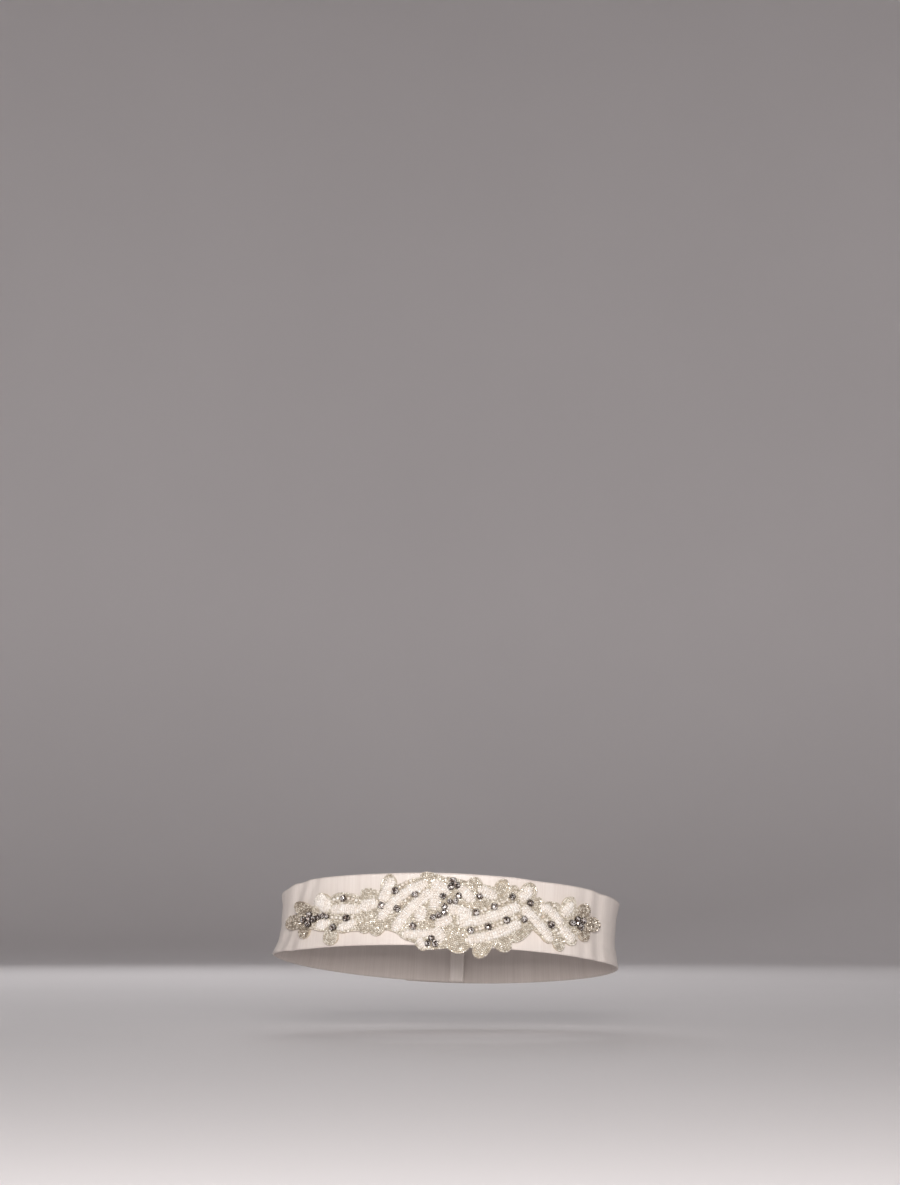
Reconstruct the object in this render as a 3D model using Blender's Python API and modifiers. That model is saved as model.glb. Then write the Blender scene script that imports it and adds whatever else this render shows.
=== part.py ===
"""Bridal sash as worn round a waist: a satin ribbon, a beaded applique on its front and a hooked back.

Metres, +Z up. The wearer faces -Y, and +X is to the right of someone looking at the wearer.
The origin is the middle of the waist that holds the sash up.
"""

import math
from collections import namedtuple

import bmesh
import bpy
import numpy as np
from mathutils import Matrix, Vector
from mathutils.geometry import delaunay_2d_cdt

MM = 0.001

# The waist, measured on the outer face of the ribbon round the ribbon's middle line
HALF_WIDTH = 124 * MM
HALF_DEPTH = 95 * MM
LEAN_BACK = math.radians(9.2)
DROP_RIGHT = math.radians(2.0)

# The ribbon is about two inches wide
RIBBON_WIDTH = 52 * MM
RIBBON_THICK = 1.0 * MM
COLUMN_STEP = 7.5 * MM
RIBBON_ROWS = 8

# The columns lie closer together over the fold at each side of the front
FOLD_COLUMN_STEP = 3.0 * MM
FOLD_STRETCH = (96 * MM, 158 * MM)

# Pieces that lie on each other stay this far apart
GAP = 0.3 * MM

# A step this long gives the ribbon's directions at a place
NUDGE = 0.1 * MM

# Back fastening: the end from the right lies over the end from the left, on two flat hooks
FASTENING_SPACE = 3.0 * MM
OVER_END = 30 * MM
UNDER_END = 12 * MM
LIFT_START = 95 * MM
LIFT_FULL = 24 * MM
HEM_DEPTH = 10 * MM
HEM_TURN = 1.15 * MM
HEM_TURN_STEPS = 6
HOOK_FROM_BACK = 12 * MM
HOOK_HEIGHTS = (-12 * MM, 12 * MM)
METAL_THICK = 0.6 * MM
HOOK_WIDE = 8 * MM
HOOK_PLATE = 7 * MM
HOOK_LIP = 1 * MM
HOOK_BEND = 4 * MM
BAR_WIDE = 2.6 * MM
BAR_IN_HOOK = 2.5 * MM
BAR_HALF_SPAN = 5.5 * MM
BAR_FOOT = 3 * MM
ARC_STEPS = 8

# How the ribbon's edges spread to follow the body, and the share of its height above and below its
# middle line that is left, by direction from the front towards the right of the view
Section = namedtuple("Section", "angle_deg top_flare_mm bottom_flare_mm top_share bottom_share")
SECTIONS = [
    Section(-180, 1.4, 1.6, 0.98, 0.98),
    Section(-110, 1.2, 4.0, 0.85, 0.88),
    Section(-90, 0.8, 5.6, 0.81, 0.86),
    Section(-75, 0.7, 3.9, 0.825, 0.915),
    Section(-63, 0.6, 2.0, 0.91, 0.98),
    Section(-52, 0.6, 1.3, 0.96, 1.0),
    Section(-35, 0.6, 1.1, 0.965, 1.0),
    Section(0, 0.6, 0.8, 1.0, 1.0),
    Section(20, 0.8, 0.9, 0.985, 1.0),
    Section(32, 0.9, 0.9, 0.945, 1.0),
    Section(52, 1.0, 1.0, 0.95, 1.0),
    Section(66, 1.4, 1.4, 0.90, 0.985),
    Section(90, 2.6, 2.8, 0.885, 0.945),
    Section(180, 1.4, 1.6, 0.98, 0.98),
]

# Soft troughs in the ribbon: from one end to the other, in the flat ribbon's own measure. The first two
# pairs leave a fold between them at each side of the front, where the ribbon turns to the back.
# Each fades out over this share of its length at both ends.
Crease = namedtuple("Crease", "along0_mm up0_mm along1_mm up1_mm depth_mm wide_mm")
CREASE_FADE = 0.25
CREASES = [
    Crease(-93, 52, -145, -52, 0.9, 5.0),
    Crease(-108, 52, -160, -52, 1.4, 6.0),
    Crease(108, 52, 108, -52, 0.9, 5.0),
    Crease(124, 52, 124, -52, 1.4, 6.5),
    Crease(-206, 10, -158, 16, 0.9, 5.0),
    Crease(-214, -4, -166, 1, 0.8, 4.5),
    Crease(146, -10, 206, -6, 0.5, 5.0),
    Crease(262, 9, 334, 3, 1.1, 5.5),
    Crease(276, -13, 338, -9, 0.8, 4.5),
    Crease(-322, -6, -258, -11, 1.0, 5.5),
    Crease(-318, 12, -268, 14, 0.7, 4.5),
]

# The applique, as it is seen from the front at this distance. Its tables are in millimetres from the
# middle of the ribbon's nearest point: across to the right, then up.
VIEW_DISTANCE = 2.0
NET_THICK_MM = 1.0
GROUND_HIGH_MM = 0.9
LEAF_HIGH_MM = 1.5
PAD_HIGH_MM = 3.4
STONE_HIGH_MM = 4.0
EDGE_ROW_MM = 1.5
EDGE_RISE_MM = 0.6
SHOULDER_MM = 0.7
PAD_CREST_MM = 1.2
BEND_GRID_MM = 6.5
CLOSEST_POINTS_MM = 1.0
MERGE_MM = 1e-4
INSIDE_TRIANGLES = 1
SOLVER_STEPS = 12
PATH_STEPS = 3

# Padded bars of chalk-white beads laid side by side
Pad = namedtuple("Pad", "width path")
PADS = [
    Pad(11.0, [(-91.4, 5.6), (-88.6, 3.0)]),
    Pad(6.4, [(-81.6, 0.3), (-74.0, 0.5), (-66.0, 0.2)]),
    Pad(7.6, [(-59.6, 2.8), (-54.5, 4.2)]),
    Pad(6.6, [(-92.0, -10.8), (-88.0, -9.8)]),
    Pad(6.0, [(-76.4, -12.4), (-69.0, -9.8)]),
    Pad(7.6, [(-42.4, 18.6), (-44.8, 12.6), (-46.6, 8.8)]),
    Pad(6.4, [(-47.8, -4.4), (-42.4, 2.4), (-37.2, 7.6), (-27.0, 14.2), (-18.6, 17.8)]),
    Pad(6.8, [(-37.4, -11.6), (-33.0, -5.4), (-27.6, 0.8), (-20.6, 6.8), (-14.8, 11.2)]),
    Pad(7.2, [(-8.6, 17.2), (-3.4, 13.6)]),
    Pad(6.6, [(-9.8, 10.8), (-10.4, 3.2)]),
    Pad(8.0, [(-20.0, -1.8), (-21.0, -4.2)]),
    Pad(6.8, [(-6.0, -9.0), (-1.4, -7.4)]),
    Pad(5.8, [(-30.2, -17.0), (-20.0, -16.8), (-12.6, -16.4)]),
    Pad(8.0, [(-8.0, -16.4), (-6.6, -18.6)]),
    Pad(5.2, [(-21.0, -22.0), (-18.6, -25.0)]),
    Pad(7.2, [(2.6, 0.6), (7.4, -1.2), (12.2, -2.4)]),
    Pad(7.4, [(10.6, 13.2), (14.8, 8.8)]),
    Pad(7.4, [(25.0, 12.8), (30.2, 10.6)]),
    Pad(6.8, [(9.6, -8.6), (20.0, -7.7), (31.0, -4.8), (41.0, -1.2), (47.4, 1.6)]),
    Pad(6.4, [(15.4, -21.0), (24.0, -19.5), (34.0, -16.5), (43.0, -13.0), (48.0, -10.8)]),
    Pad(7.2, [(56.4, 12.6), (53.6, 9.2)]),
    Pad(6.6, [(54.8, -0.6), (60.0, -6.0), (65.6, -12.2), (71.2, -19.2)]),
    Pad(6.2, [(67.8, 1.6), (73.2, -2.2), (78.8, -8.2)]),
    Pad(7.0, [(82.0, -15.0), (86.6, -19.6)]),
    Pad(7.0, [(86.2, 1.8), (83.0, -1.8)]),
]

# Leaves and petals filled with small beads: share 0 ends in a point and 1 in a round
Leaf = namedtuple("Leaf", "base tip width roundness")
LEAVES = [
    Leaf((-97.4, -2.4), (-109.8, 3.0), 10.6, 0.9),
    Leaf((-101.6, -7.8), (-116.0, -10.0), 11.4, 1.0),
    Leaf((-100.8, -8.8), (-105.6, -20.6), 12.0, 0.5),
    Leaf((-83.6, -13.0), (-85.2, -25.2), 12.8, 1.0),
    Leaf((-62.6, 7.0), (-84.2, 7.8), 9.8, 1.0),
    Leaf((-48.8, 9.6), (-63.0, 12.0), 8.8, 1.0),
    Leaf((-58.4, -0.6), (-61.0, -17.0), 11.6, 1.0),
    Leaf((-50.6, 0.0), (-52.2, -18.8), 13.2, 1.0),
    Leaf((-44.6, 4.6), (-41.8, 25.4), 12.4, 0.7),
    Leaf((-3.0, 20.8), (-20.6, 24.6), 7.0, 1.0),
    Leaf((9.6, 18.4), (-5.0, 20.8), 6.8, 1.0),
    Leaf((19.8, 9.0), (17.8, 23.2), 11.4, 1.0),
    Leaf((34.8, 8.6), (40.8, 21.6), 11.2, 0.3),
    Leaf((43.0, 8.0), (48.4, 16.8), 7.6, 0.9),
    Leaf((53.6, 6.0), (60.0, 18.8), 12.0, 0.6),
    Leaf((56.0, 4.0), (67.2, 6.2), 7.6, 0.9),
    Leaf((66.0, 2.6), (79.8, 1.8), 7.6, 0.9),
    Leaf((82.8, -5.0), (88.4, 9.0), 12.6, 0.4),
    Leaf((92.2, -6.4), (99.8, 3.0), 11.4, 0.4),
    Leaf((94.4, -9.8), (107.4, -11.0), 11.2, 0.9),
    Leaf((93.8, -11.0), (98.4, -22.6), 11.4, 0.5),
    Leaf((76.4, -13.0), (79.2, -29.6), 10.4, 0.9),
    Leaf((78.6, -12.0), (90.2, -24.2), 11.4, 1.0),
    Leaf((8.0, -12.0), (5.4, -31.2), 18.0, 0.9),
    Leaf((29.6, -21.0), (18.0, -33.2), 11.6, 0.9),
    Leaf((31.0, -20.0), (44.2, -27.8), 11.4, 1.0),
    Leaf((58.6, -11.8), (43.6, -22.6), 8.6, 0.8),
]

# The ground of small beads that the motifs stand on, as one outline
GROUND = [
    (-99, 1), (-92, 4), (-86, 4), (-66, 9), (-56, 10), (-50, 13), (-42, 14), (-36, 17.5), (-28, 21.5),
    (-18, 23), (-8, 22), (2, 22), (12, 20.5), (22, 18.5), (30, 16.5), (38, 15), (46, 14), (54, 13),
    (60, 9), (66, 5.5), (76, 3), (84, 3), (91, 0), (95, -5), (95, -12), (90, -19), (83, -20),
    (77, -19), (72, -23), (66, -20), (60, -14.5), (54, -16.5), (46, -21), (38, -24), (28, -26),
    (14, -27), (2, -27), (-8, -28), (-18, -28), (-23, -24), (-32, -21), (-38, -16.5), (-44, -14.5),
    (-52, -14), (-64, -15), (-78, -16.2), (-84, -15), (-90, -15.4), (-97, -14), (-103, -11),
    (-104, -7), (-102, -3),
]

# Smoke-grey stones in metal cups
Stone = namedtuple("Stone", "across up wide")
STONES = [
    Stone(-75.3, 7.8, 4.4), Stone(-73.1, -6.0, 5.0), Stone(-82.5, -12.6, 4.8),
    Stone(-48.0, 3.0, 4.8), Stone(-38.2, 13.3, 4.8), Stone(-24.2, 10.7, 4.4), Stone(-36.8, 0.7, 4.8),
    Stone(-25.6, -11.6, 4.8), Stone(21.8, 9.4, 4.4), Stone(19.2, -2.0, 4.6), Stone(32.2, 2.2, 4.6),
    Stone(45.0, 9.0, 4.4), Stone(57.8, 4.6, 4.6), Stone(15.4, -14.8, 4.6), Stone(27.8, -12.2, 4.8),
    Stone(41.0, -7.6, 4.8), Stone(53.4, -7.0, 4.6), Stone(72.6, -10.8, 5.2),
    Stone(-4.3, 9.6, 4.4), Stone(6.9, 9.7, 4.3), Stone(0.6, 5.9, 3.8), Stone(4.7, 5.7, 3.8),
    Stone(-3.1, 2.0, 4.2), Stone(-3.4, -1.9, 4.0), Stone(-7.5, -4.0, 4.2), Stone(-11.5, -5.4, 4.0),
    Stone(2.9, 20.3, 4.6), Stone(1.3, 16.2, 4.6), Stone(5.9, 17.0, 4.5),
    Stone(-12.6, -20.0, 4.4), Stone(-15.2, -24.0, 4.3), Stone(-9.8, -24.0, 4.5),
    Stone(-99.4, -3.9, 4.6), Stone(-100.2, -10.2, 4.6), Stone(-103.6, -7.2, 4.6), Stone(-96.4, -6.8, 4.6),
    Stone(-100.0, -7.0, 3.8), Stone(-92.8, -5.0, 3.8), Stone(-89.9, -4.4, 3.8), Stone(-87.0, -4.8, 3.6),
    Stone(88.0, -9.5, 5.2), Stone(91.5, -6.6, 4.0), Stone(95.2, -8.0, 4.8), Stone(93.6, -12.2, 4.8),
    Stone(91.8, -9.8, 3.4),
]

# A stone from its foot to its flat top: shares of its width and of its height
StoneRing = namedtuple("StoneRing", "width_share height_share")
STONE_RINGS = [StoneRing(1.0, 0.0), StoneRing(0.84, 0.55), StoneRing(0.5, 1.0)]

# Leaves are widest past their middle, and their foot is this share of their width
LEAF_WIDEST = 0.58
LEAF_FOOT = 0.45

# Colours and finishes: base colour, roughness, metallic
SATIN = ((0.80, 0.76, 0.75), 0.35, 0.0)
BEADWORK = ((0.66, 0.62, 0.54), 0.4, 0.0)
STEEL = ((0.62, 0.62, 0.64), 0.3, 1.0)

TURN = Matrix.Rotation(DROP_RIGHT, 3, "Y") @ Matrix.Rotation(-LEAN_BACK, 3, "X")
SHARP_EDGE = math.radians(40)

# The table from directions to distances along the ribbon reaches past the back on both sides
TABLE_TURNS = 1.3
TABLE_POINTS = 6000


def girth_table():
    """Directions round the waist, in radians from the front, and the distance to each along the ribbon."""
    angle = np.linspace(-TABLE_TURNS * math.pi, TABLE_TURNS * math.pi, TABLE_POINTS + 1)
    step = np.hypot(np.diff(HALF_WIDTH * np.sin(angle)), np.diff(HALF_DEPTH * np.cos(angle)))
    along = np.concatenate([[0], np.cumsum(step)])
    return angle, along - along[TABLE_POINTS // 2]


ANGLES, ALONGS = girth_table()
HALF_GIRTH = float(np.interp(math.pi, ANGLES, ALONGS))


def eased(share):
    """0 to 1 with a soft start and end."""
    share = np.clip(share, 0, 1)
    return share * share * (3 - 2 * share)


def by_direction(angle, column):
    """A column of SECTIONS at these directions, eased from one section to the next."""
    degrees = (np.degrees(angle) + 180) % 360 - 180
    stations = np.array([row.angle_deg for row in SECTIONS], float)
    values = np.array([getattr(row, column) for row in SECTIONS], float)
    right = np.clip(np.searchsorted(stations, degrees, side="right"), 1, len(stations) - 1)
    share = (degrees - stations[right - 1]) / (stations[right] - stations[right - 1])
    return values[right - 1] + (values[right] - values[right - 1]) * eased(share)


def crease_depth(along, up):
    """How deep the troughs of CREASES are at points of the flat ribbon."""
    depth = np.zeros(np.shape(along))
    for row in CREASES:
        start = np.array([row.along0_mm, row.up0_mm]) * MM
        run = np.array([row.along1_mm, row.up1_mm]) * MM - start
        share = ((along - start[0]) * run[0] + (up - start[1]) * run[1]) / (run @ run)
        inside = np.clip(share, 0, 1)
        away = np.hypot(along - start[0] - inside * run[0], up - start[1] - inside * run[1])
        fade = eased(inside / CREASE_FADE) * eased((1 - inside) / CREASE_FADE)
        depth = depth + row.depth_mm * MM * fade * np.exp(-((away / (row.wide_mm * MM)) ** 2))
    return depth


def on_waist(along, up, lift):
    """Points over the flat ribbon: along it from the front, up from its middle line, out from its face."""
    along, up, lift = np.broadcast_arrays(along, up, lift)
    angle = np.interp(along, ALONGS, ANGLES)
    side, front = np.sin(angle), -np.cos(angle)
    out = np.stack([side / HALF_WIDTH, front / HALF_DEPTH], -1)
    out = out / np.linalg.norm(out, axis=-1, keepdims=True)
    flare = np.where(up > 0, by_direction(angle, "top_flare_mm"), by_direction(angle, "bottom_flare_mm"))
    reach = lift + flare * MM * (2 * up / RIBBON_WIDTH) ** 2
    flat = np.stack([HALF_WIDTH * side, HALF_DEPTH * front], -1) + out * reach[..., None]
    height = up * np.where(up > 0, by_direction(angle, "top_share"), by_direction(angle, "bottom_share"))
    return np.concatenate([flat, height[..., None]], -1) @ np.array(TURN).T


def seen_from_front(along, up, lift):
    """Where a point over the ribbon shows from the front, in millimetres from its nearest point."""
    point = on_waist(along, up, lift) - on_waist(0.0, 0.0, 0.0)
    scale = VIEW_DISTANCE / (VIEW_DISTANCE + point[..., 1])
    return np.stack([point[..., 0], point[..., 2]], -1) * scale[..., None] / MM


def flat_from_front(across, up, high):
    """Where a motif this high stands on the flat ribbon, in millimetres, to show there from the front."""
    target = np.array([across, up], float)
    lift = GAP + (NET_THICK_MM + high / 2) * MM
    flat = target * MM
    for _ in range(SOLVER_STEPS):
        seen = seen_from_front(*flat, lift)
        slopes = [(seen_from_front(flat[0] + NUDGE, flat[1], lift) - seen) / NUDGE]
        slopes.append((seen_from_front(flat[0], flat[1] + NUDGE, lift) - seen) / NUDGE)
        flat = flat + np.linalg.solve(np.array(slopes).T, target - seen)
    return flat / MM


def smooth_path(points, steps):
    """A Catmull-Rom curve through the points, with so many steps from each to the next."""
    points = np.array(points, float)
    if len(points) == 2:
        return points[0] + (points[1] - points[0]) * np.linspace(0, 1, steps + 1)[:, None]
    padded = np.vstack([2 * points[0] - points[1], points, 2 * points[-1] - points[-2]])
    curve = []
    for a, b, c, d in zip(padded, padded[1:], padded[2:], padded[3:]):
        for t in np.arange(steps) / steps:
            curve.append(0.5 * (2 * b + (c - a) * t + (2 * a - 5 * b + 4 * c - d) * t**2
                                + (3 * b - a - 3 * c + d) * t**3))
    return np.array(curve + [points[-1]])


def pad_outline(path, width, cap_steps=4):
    """A bar with round ends: both sides of the path, with a half circle round each end."""
    run = np.gradient(path, axis=0)
    run /= np.linalg.norm(run, axis=1, keepdims=True)
    left = np.stack([-run[:, 1], run[:, 0]], 1)
    turns = np.linspace(0, math.pi, cap_steps + 1)[1:-1, None]
    tip_cap = path[-1] + width / 2 * (left[-1] * np.cos(turns) + run[-1] * np.sin(turns))
    base_cap = path[0] + width / 2 * (-left[0] * np.cos(turns) - run[0] * np.sin(turns))
    sides = [path + left * width / 2, tip_cap, (path - left * width / 2)[::-1], base_cap]
    return np.vstack(sides)


def leaf_outline(base, tip, width, roundness, inset=0.0, steps=7):
    """A leaf from its foot at the base to a tip that is a point or a round."""
    base, tip = np.array(base, float), np.array(tip, float)
    length = np.linalg.norm(tip - base)
    run = (tip - base) / length
    left = np.array([-run[1], run[0]])
    share = (1 - np.cos(np.linspace(0, math.pi, steps + 1))) / 2
    to_foot = np.clip(1 - share / LEAF_WIDEST, 0, 1)
    to_tip = np.clip((share - LEAF_WIDEST) / (1 - LEAF_WIDEST), 0, 1)
    bulge = np.sqrt(1 - (1 - LEAF_FOOT ** 2) * to_foot ** 2) * (1 - to_tip ** 2) ** (1 - roundness / 2)
    spine = base + run * (inset + share[:, None] * (length - 2 * inset))
    side = left * ((width / 2 - inset) * bulge)[:, None]
    return np.vstack([spine + side, (spine - side)[-2::-1]])


def stone_outline(centre, wide, corners=8):
    turns = np.arange(corners) * 2 * math.pi / corners
    return centre + wide / 2 * np.stack([np.cos(turns), np.sin(turns)], 1)


def depth_inside(points, outline):
    """How far points lie inside an outline, and 0 outside it."""
    start, end = outline, np.roll(outline, -1, axis=0)
    run = end - start
    offset = points[:, None] - start[None]
    share = np.clip((offset * run).sum(-1) / (run * run).sum(-1), 0, 1)
    away = np.linalg.norm(offset - share[..., None] * run, axis=-1).min(1)
    above = (start[None, :, 1] > points[:, None, 1]) != (end[None, :, 1] > points[:, None, 1])
    drop = np.where(run[:, 1] == 0, 1, run[:, 1])
    crossing = start[:, 0] + (points[:, None, 1] - start[:, 1]) * run[:, 0] / drop
    inside = (above & (points[:, None, 0] < crossing)).sum(1) % 2 == 1
    return np.where(inside, away, 0)


def flat_topped(depth, high):
    """A flat top with a short slope round it."""
    return high * np.clip(depth / EDGE_RISE_MM, 0, 1)


def domed(depth, half, high):
    """A round top: nothing at the edge, and high from this depth inwards."""
    share = np.clip(depth / half, 0, 1)
    return high * np.sqrt(1 - (1 - share) ** 2)


def applique_motifs():
    """Each raised motif as its outlines, from the outermost in, and the height it gives to a depth."""
    motifs = []
    for leaf in LEAVES:
        base, tip = flat_from_front(*leaf.base, LEAF_HIGH_MM), flat_from_front(*leaf.tip, LEAF_HIGH_MM)
        form = (base, tip, leaf.width, leaf.roundness)
        rings = [leaf_outline(*form, inset) for inset in (0.0, SHOULDER_MM)]
        motifs.append((rings, lambda depth: flat_topped(depth, LEAF_HIGH_MM)))
    for pad in PADS:
        path = smooth_path([flat_from_front(*point, PAD_HIGH_MM) for point in pad.path], PATH_STEPS)
        edge_row = pad_outline(path, pad.width + 2 * EDGE_ROW_MM)
        motifs.append(([edge_row], lambda depth: flat_topped(depth, LEAF_HIGH_MM)))
        rings = [pad_outline(path, pad.width), pad_outline(path, pad.width - 2 * SHOULDER_MM)]
        rings.append(pad_outline(path, PAD_CREST_MM, cap_steps=2))
        motifs.append((rings, lambda depth, half=pad.width / 2: domed(depth, half, PAD_HIGH_MM)))
    for stone in STONES:
        centre = flat_from_front(stone.across, stone.up, STONE_HIGH_MM)
        rings = [stone_outline(centre, stone.wide * ring.width_share) for ring in STONE_RINGS]
        inward = [stone.wide * (1 - ring.width_share) / 2 for ring in STONE_RINGS]
        upward = [STONE_HIGH_MM * ring.height_share for ring in STONE_RINGS]
        motifs.append((rings, lambda depth, inward=inward, upward=upward: np.interp(depth, inward, upward)))
    ground = np.array([flat_from_front(*point, GROUND_HIGH_MM) for point in GROUND])
    motifs.append(([ground], lambda depth: flat_topped(depth, GROUND_HIGH_MM)))
    return motifs


def triangulated(points, faces, edges=()):
    """Triangles over all that these outlines enclose, with the points that they have."""
    made = delaunay_2d_cdt([Vector(p) for p in points], list(edges), faces, INSIDE_TRIANGLES, MERGE_MM)
    return np.array([tuple(p) for p in made[0]]), np.array(made[2]), made[3]


def bend_points(box, taken, step, closest):
    """A regular grid over the applique, so that its large faces follow the waist, clear of other points."""
    low, high = box
    across, up = np.meshgrid(np.arange(low[0], high[0], step), np.arange(low[1], high[1], step))
    grid = np.stack([across.ravel(), up.ravel()], 1)
    nearest = np.array([np.hypot(*(taken - point).T).min() for point in grid])
    return grid[nearest > closest]


def boundary_loop_edges(triangles):
    """Edges that only one triangle has, each in its triangle's direction."""
    seen = {}
    for a, b, c in triangles:
        for start, end in ((a, b), (b, c), (c, a)):
            key = (min(start, end), max(start, end))
            seen[key] = None if key in seen else (start, end)
    return [edge for edge in seen.values() if edge]


def build_applique(collection):
    """Net cut round the motifs, with the beadwork raised on its outer side and a plain inner side."""
    motifs = applique_motifs()
    points, faces = [], []
    for rings, _ in motifs:
        for ring in rings:
            faces.append(list(range(len(points), len(points) + len(ring))))
            points.extend(ring)
    taken = np.array(points)
    box = (taken.min(0), taken.max(0))
    points.extend(bend_points(box, taken, BEND_GRID_MM, CLOSEST_POINTS_MM))
    top, triangles, _ = triangulated(points, faces)
    used = np.unique(triangles)
    renumber = np.full(len(top), -1)
    renumber[used] = np.arange(len(used))
    top, triangles = top[used], renumber[triangles]
    high = np.zeros(len(top))
    for rings, height in motifs:
        high = np.maximum(high, height(depth_inside(top, rings[0])))

    edge = boundary_loop_edges(triangles)
    rim = sorted({index for pair in edge for index in pair})
    rim_place = {index: place for place, index in enumerate(rim)}
    inner = bend_points(box, top[rim], BEND_GRID_MM, 2 * CLOSEST_POINTS_MM)
    rim_edges = [(rim_place[a], rim_place[b]) for a, b in edge]
    bottom, under, origins = triangulated(list(top[rim]) + list(inner), [], rim_edges)
    place_of_rim = {}
    for index, sources in enumerate(origins):
        for source in sources:
            if source < len(rim):
                place_of_rim[rim[source]] = index

    net = NET_THICK_MM + GAP / MM
    upper = on_waist(top[:, 0] * MM, top[:, 1] * MM, (high + net) * MM)
    lower = on_waist(bottom[:, 0] * MM, bottom[:, 1] * MM, GAP)
    mesh = bmesh.new()
    upper = [mesh.verts.new(point) for point in upper]
    lower = [mesh.verts.new(point) for point in lower]
    for a, b, c in triangles:
        mesh.faces.new((upper[a], upper[b], upper[c]))
    for a, b, c in under:
        mesh.faces.new((lower[c], lower[b], lower[a]))
    for a, b in edge:
        mesh.faces.new((upper[b], upper[a], lower[place_of_rim[a]], lower[place_of_rim[b]]))
    bmesh.ops.delete(mesh, geom=[vert for vert in mesh.verts if not vert.link_faces], context="VERTS")
    bmesh.ops.recalc_face_normals(mesh, faces=mesh.faces)
    return finished("applique", mesh, BEADWORK, collection)


def column_places(start, end):
    """Where the columns lie along the ribbon, closer together over the fold at each side."""
    near, far = FOLD_STRETCH
    stops = [start, -far, -near, near, far, end]
    steps = [COLUMN_STEP, FOLD_COLUMN_STEP, COLUMN_STEP, FOLD_COLUMN_STEP, COLUMN_STEP]
    stretches = [np.linspace(a, b, round((b - a) / step), endpoint=False)
                 for a, b, step in zip(stops, stops[1:], steps)]
    return np.concatenate([*stretches, [end]])


def ribbon_columns():
    """Along and lift of each column of the ribbon's outer face, with both ends turned under as hems."""
    start, end = -HALF_GIRTH - UNDER_END, HALF_GIRTH + OVER_END
    along = column_places(start, end)
    from_back = HALF_GIRTH - along
    lift = (RIBBON_THICK + FASTENING_SPACE) * eased((LIFT_START - from_back) / (LIFT_START - LIFT_FULL))
    turns = np.linspace(0, math.pi, HEM_TURN_STEPS + 1)[1:]
    back = np.array([HEM_DEPTH / 2, HEM_DEPTH])

    def hem(edge, outwards, edge_lift):
        turned = np.concatenate([edge + outwards * HEM_TURN * np.sin(turns), edge - outwards * back])
        down = np.concatenate([HEM_TURN * (1 - np.cos(turns)), np.full(len(back), 2 * HEM_TURN)])
        return turned, edge_lift - down

    under_along, under_lift = hem(start, -1, lift[0])
    over_along, over_lift = hem(end, 1, lift[-1])
    return (np.concatenate([under_along[::-1], along, over_along]),
            np.concatenate([under_lift[::-1], lift, over_lift]))


def build_ribbon(collection):
    """One strip of ribbon round the waist, from under the fastening to over it."""
    along, lift = ribbon_columns()
    mesh = bmesh.new()
    bmesh.ops.create_grid(mesh, x_segments=len(along) - 1, y_segments=RIBBON_ROWS, size=0.5)
    mesh.verts.ensure_lookup_table()
    column = np.array([round((vert.co.x + 0.5) * (len(along) - 1)) for vert in mesh.verts])
    up = np.array([vert.co.y for vert in mesh.verts]) * RIBBON_WIDTH
    dip = crease_depth(along[column], up)
    points = on_waist(along[column], up, lift[column] - dip)
    for vert, point in zip(mesh.verts, points):
        vert.co = point
    wall = finished("ribbon", mesh, SATIN, collection)
    thicken = wall.modifiers.new("wall", "SOLIDIFY")
    thicken.thickness = RIBBON_THICK
    thicken.offset = -1
    thicken.use_even_offset = True
    return wall


def finished(name, mesh, finish, collection):
    """The mesh as a smooth-shaded object with its material."""
    data = bpy.data.meshes.new(name)
    mesh.to_mesh(data)
    mesh.free()
    data.shade_smooth()
    data.set_sharp_from_angle(angle=SHARP_EDGE)
    made = bpy.data.objects.new(name, data)
    collection.objects.link(made)
    data.materials.append(material(name, finish))
    return made


def material(name, finish):
    colour, roughness, metallic = finish
    made = bpy.data.materials.new(name)
    made.use_nodes = True
    shader = made.node_tree.nodes["Principled BSDF"]
    shader.inputs["Base Color"].default_value = (*colour, 1)
    shader.inputs["Roughness"].default_value = roughness
    shader.inputs["Metallic"].default_value = metallic
    return made


def fastening_frame(up):
    """The place on the under end's face where a hook and bar meet: along, up and out as X, Y and Z."""
    along = HOOK_FROM_BACK - HALF_GIRTH
    place = on_waist(along, up, 0.0)
    forward = Vector(on_waist(along + NUDGE, up, 0.0) - place).normalized()
    out = forward.cross(Vector(on_waist(along, up + NUDGE, 0.0) - place)).normalized()
    upward = out.cross(forward)
    frame = Matrix((forward, upward, out)).transposed().to_4x4()
    frame.translation = Vector(place)
    return frame


def bent_strip(name, outline, wide, frame, collection):
    """Sheet metal bent along an outline in the XY plane of its frame, and so wide across it."""
    curve = bpy.data.curves.new(name, "CURVE")
    curve.dimensions = "2D"
    curve.fill_mode = "BOTH"
    curve.extrude = wide / 2
    spline = curve.splines.new("POLY")
    spline.points.add(len(outline) - 1)
    for point, (x, y) in zip(spline.points, outline):
        point.co = (x, y, 0, 1)
    spline.use_cyclic_u = True
    made = bpy.data.objects.new(name, curve)
    made.matrix_world = frame
    collection.objects.link(made)
    curve.materials.append(material(name, STEEL))
    return made


def arc(centre, radius, start_deg, end_deg):
    turns = np.radians(np.linspace(start_deg, end_deg, ARC_STEPS + 1))
    return [(centre[0] + radius * math.cos(turn), centre[1] + radius * math.sin(turn)) for turn in turns]


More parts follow.
